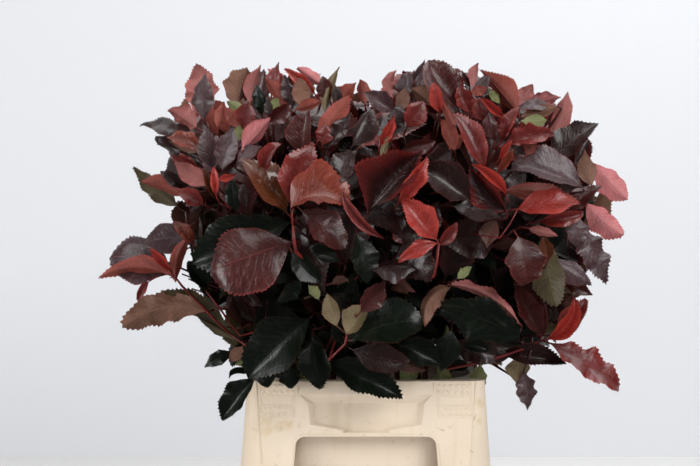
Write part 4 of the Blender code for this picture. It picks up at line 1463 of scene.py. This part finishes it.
# %% Leaves that give way
COVER_RADIUS = 2
COVER_SLACK = 0.003
OUTSIDE_SHARE = 0.08
SKYLINE = ((230, 380), (208, 300), (190, 270), (165, 215), (148, 192), (172, 165), (163, 142), (145, 128),
           (186, 100), (188, 72), (208, 72), (214, 98), (222, 97), (232, 76), (250, 66), (335, 72), (346, 84),
           (352, 94), (360, 84), (366, 94), (385, 92), (396, 76), (424, 62), (482, 66), (528, 88), (562, 98),
           (572, 120), (592, 126), (600, 150), (616, 190), (610, 232), (600, 275), (582, 330), (500, 368),
           (484, 380))


def spots_of(points):
    """Whole pixels of points, and their distance ahead of the camera."""
    spots, ahead = pixels_of(points)
    across = np.clip(spots[..., 0].round().astype(int), 0, PICTURE_WIDTH - 1)
    down = np.clip(spots[..., 1].round().astype(int), 0, PICTURE_HEIGHT - 1)
    return across, down, ahead


def nearest_shown():
    """How far ahead of the camera the nearest placed leaf is at each pixel, and 0 where there is none."""
    nearest = np.full((PICTURE_HEIGHT, PICTURE_WIDTH), np.inf)
    across, down, ahead = spots_of(bent_leaves(shown_leaves, FINE_COLUMNS)[0])
    for right in range(-COVER_RADIUS, COVER_RADIUS + 1):
        for lower in range(-COVER_RADIUS, COVER_RADIUS + 1):
            x = np.clip(across + right, 0, PICTURE_WIDTH - 1)
            y = np.clip(down + lower, 0, PICTURE_HEIGHT - 1)
            np.minimum.at(nearest, (y, x), ahead)
    nearest[np.isinf(nearest)] = 0
    return nearest


def inside_outline(corners):
    """A mask of the pixels inside a polygon."""
    down, across = np.mgrid[0:PICTURE_HEIGHT, 0:PICTURE_WIDTH]
    inside = np.zeros(across.shape, bool)
    for (xa, ya), (xb, yb) in zip(corners, corners[1:] + corners[:1]):
        if ya != yb:
            crossing = xa + (down - ya) * (xb - xa) / (yb - ya)
            inside ^= ((ya > down) != (yb > down)) & (across < crossing)
    return inside


across, down, ahead = spots_of(bent_leaves(leaves, COLUMNS)[0])
covering = (ahead < nearest_shown()[down, across] + COVER_SLACK).any(axis=(1, 2))
straying = (~inside_outline(SKYLINE)[down, across]).mean(axis=(1, 2)) > OUTSIDE_SHARE
leaves = [leaf for leaf, drop in zip(leaves, covering | straying) if not drop]
print("gave way:", int(covering.sum()), "strayed:", int(straying.sum()), "left:", len(leaves))

# %% Leaves of each tint, above and below
CROWDED = ("old_green", "moss_back")  # so many leaves that they are made as a left and a right half
for finishes, face in ((TOPS, "top"), (BACKS, "back")):
    for tint, finish in finishes.items():
        for ending, sign in (("_left", -1), ("_right", 1)) if tint in CROWDED else (("", 0),):
            grown = [leaf for leaf in leaves if leaf[face] == tint and leaf["base"].x * sign >= 0]
            placed = [leaf for leaf in shown_leaves if leaf[face] == tint and leaf["base"].x * sign >= 0]
            leaf_mesh(f"leaves_{tint}{ending}", ((grown, COLUMNS), (placed, FINE_COLUMNS)), finish, SLOT_OF[tint],
                      face == "back")
            print(tint + ending, len(grown), len(placed))


# %% Twigs and petioles
def twig_finish(name, old, young):
    finish = Finish(name, Roughness=0.42)
    finish.feed("Base Color", finish.mix(finish.noise(0.02).step(0.3, 0.7), old, young))
    finish.bump(finish.noise(0.0015, place=finish.stretched(1, 1, 0.3)), 0.0003, 0.5)
    return finish.material


def curved(start, middle, end, steps=6):
    """A smooth path that starts towards its middle point."""
    return [start.lerp(middle, k / steps).lerp(middle.lerp(end, k / steps), k / steps) for k in range(steps + 1)]


def petiole(leaf):
    start, end = leaf["root"], leaf["base"] + leaf["direction"] * leaf["length"] * 0.06
    return tube(curved(start, leaf["base"], end, 3), [0.0012, 0.0010, 0.0009, 0.0006], 4)


DARK_TOPS = ("old_green", "dusky", "lilac")
shoot_parts, young_parts = [], []
for points, thickness in seen_stems:
    held = held_at(points[0])
    young_parts.append(tube([held.lerp(points[0], k / 4) for k in range(4)] + points,
                            [thickness] * (3 + len(points)) + [thickness * 0.7], 8))
for foot, end in twigs:
    path = [foot.lerp(end, k / 6) for k in range(7)]
    shoot_parts.append(tube(path, [0.0028 - 0.0018 * k / 6 for k in range(7)], 6))
shoot_parts += [petiole(leaf) for leaf in leaves]
for hub in hubs:
    held = held_at(hub)
    shoot_parts.append(tube(curved(held, bowed(held, hub), hub), [0.0019 - 0.0006 * k / 6 for k in range(7)], 6))
shoot_parts += [petiole(leaf) for leaf in shown_leaves if leaf["top"] in DARK_TOPS]
young_parts += [petiole(leaf) for leaf in shown_leaves if leaf["top"] not in DARK_TOPS]
shoots = outward(joined("shoots_and_petioles", shoot_parts,
                        twig_finish("shaded twig", linear(44, 18, 16), linear(74, 26, 22))))
young_twigs = outward(joined("young_twigs", young_parts,
                             twig_finish("young twig", linear(84, 20, 19), linear(118, 34, 30))))
print("twig faces:", len(shoots.data.polygons) + len(young_twigs.data.polygons))

# %% [markdown]
# The bucket and its trim, the stems and the twigs are tied to the root, as the leaves already are, and the solids they
# replace are hidden: the bucket, the stems and all the masses.

# %% What rides on the root, and the solids that are hidden
for made, slot in ((bucket, "bucket_plastic"), (beads, "bucket_plastic"), (pads, "bucket_plastic"),
                   (ridges, "bucket_plastic"), (stems, "stem_bark"), (shoots, "stem_bark"),
                   (young_twigs, "stem_bark")):
    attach(made, "root")
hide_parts("flower_bucket")
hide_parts(*[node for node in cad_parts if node.startswith("stem_")])
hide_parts(*[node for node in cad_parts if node.startswith("foliage_")])
softened = bucket.modifiers.new("soft edges", "BEVEL")
softened.width = 0.0008
softened.segments = 2
softened.limit_method = "ANGLE"
softened.angle_limit = math.radians(25)

# %% [markdown]
# The room is a white wall and a pale floor. The wall's foot stands where the photograph shows the thin line low down
# on both sides. The bunch is dark and glossy, so it is lit by its reflections: one large soft light from the right and
# above gives the grey sheen, the wall has its own light, and the rest of the room stays dim, so that the depths of the
# bunch can go black. The wall's back is left open, so that the bunch can be looked at from behind too, and what lies
# beyond the floor looks pale without lighting anything.

# %% Wall, floor and lights
WALL_PLACE = 1.245


def plain(name, colour, roughness=0.9):
    return Finish(name, Base_Color=colour, Roughness=roughness).material


def sheet_of(name, corners, finish):
    made = piece(name, corners, [(0, 1, 2, 3)], finish, smooth=False)
    return made


floor = sheet_of("floor", [(-3, -3, 0), (3, -3, 0), (3, WALL_PLACE, 0), (-3, WALL_PLACE, 0)],
                 plain("floor paint", linear(227, 226, 225)))
floor.visible_glossy = False
wall_paint = Finish("wall paint", Base_Color=linear(220, 222, 226), Roughness=0.9)
wall_paint.feed("Alpha", 1 - wall_paint.node("ShaderNodeNewGeometry", output="Backfacing"))
sheet_of("wall", [(-3, WALL_PLACE, 0), (3, WALL_PLACE, 0), (3, WALL_PLACE, 3), (-3, WALL_PLACE, 3)],
         wall_paint.material)


def soft_light(name, place, aim, size, power, mirrored=True):
    """A large soft lamp. One that isn't mirrored brightens surfaces without showing in their gloss."""
    light = bpy.data.lights.new(name, "AREA")
    light.shape = "RECTANGLE"
    light.size, light.size_y = size
    light.energy = power
    made = bpy.data.objects.new(name, light)
    made.location = place
    made.rotation_euler = (Vector(aim) - Vector(place)).to_track_quat("-Z", "Y").to_euler()
    made.visible_glossy = mirrored
    bpy.context.scene.collection.objects.link(made)


soft_light("key", (1.5, -2.0, 2.0), (0, 0, 0.5), (1.8, 1.4), 54)
soft_light("overhead", (0.2, -0.3, 2.6), (0, 0, 0.5), (1.8, 1.2), 27)
soft_light("wall wash", (1.1, 0.6, 2.2), (0.95, WALL_PLACE, 0.5), (1.4, 0.8), 11)
soft_light("front fill", (-0.4, -3.0, 1.1), (0, 0, 0.4), (1.8, 1.8), 17, mirrored=False)
soft_light("left fill", (-2.2, -1.3, 1.3), (0, 0, 0.4), (1.2, 1.2), 36)


class Surroundings(Finish):
    """What lies beyond the room, made of nodes like a finish."""

    def __init__(self, name):
        self.world = bpy.data.worlds.new(name)
        self.world.use_nodes = True
        self.tree = self.world.node_tree
        self.shader = self.tree.nodes["Background"]


studio = Surroundings("studio")
studio.feed("Color", (0.94, 0.97, 1.0))
studio.feed("Strength", 0.05 + 0.80 * studio.node("ShaderNodeLightPath", output="Is Camera Ray"))
bpy.context.scene.world = studio.world
bpy.context.scene.view_settings.view_transform = "Standard"
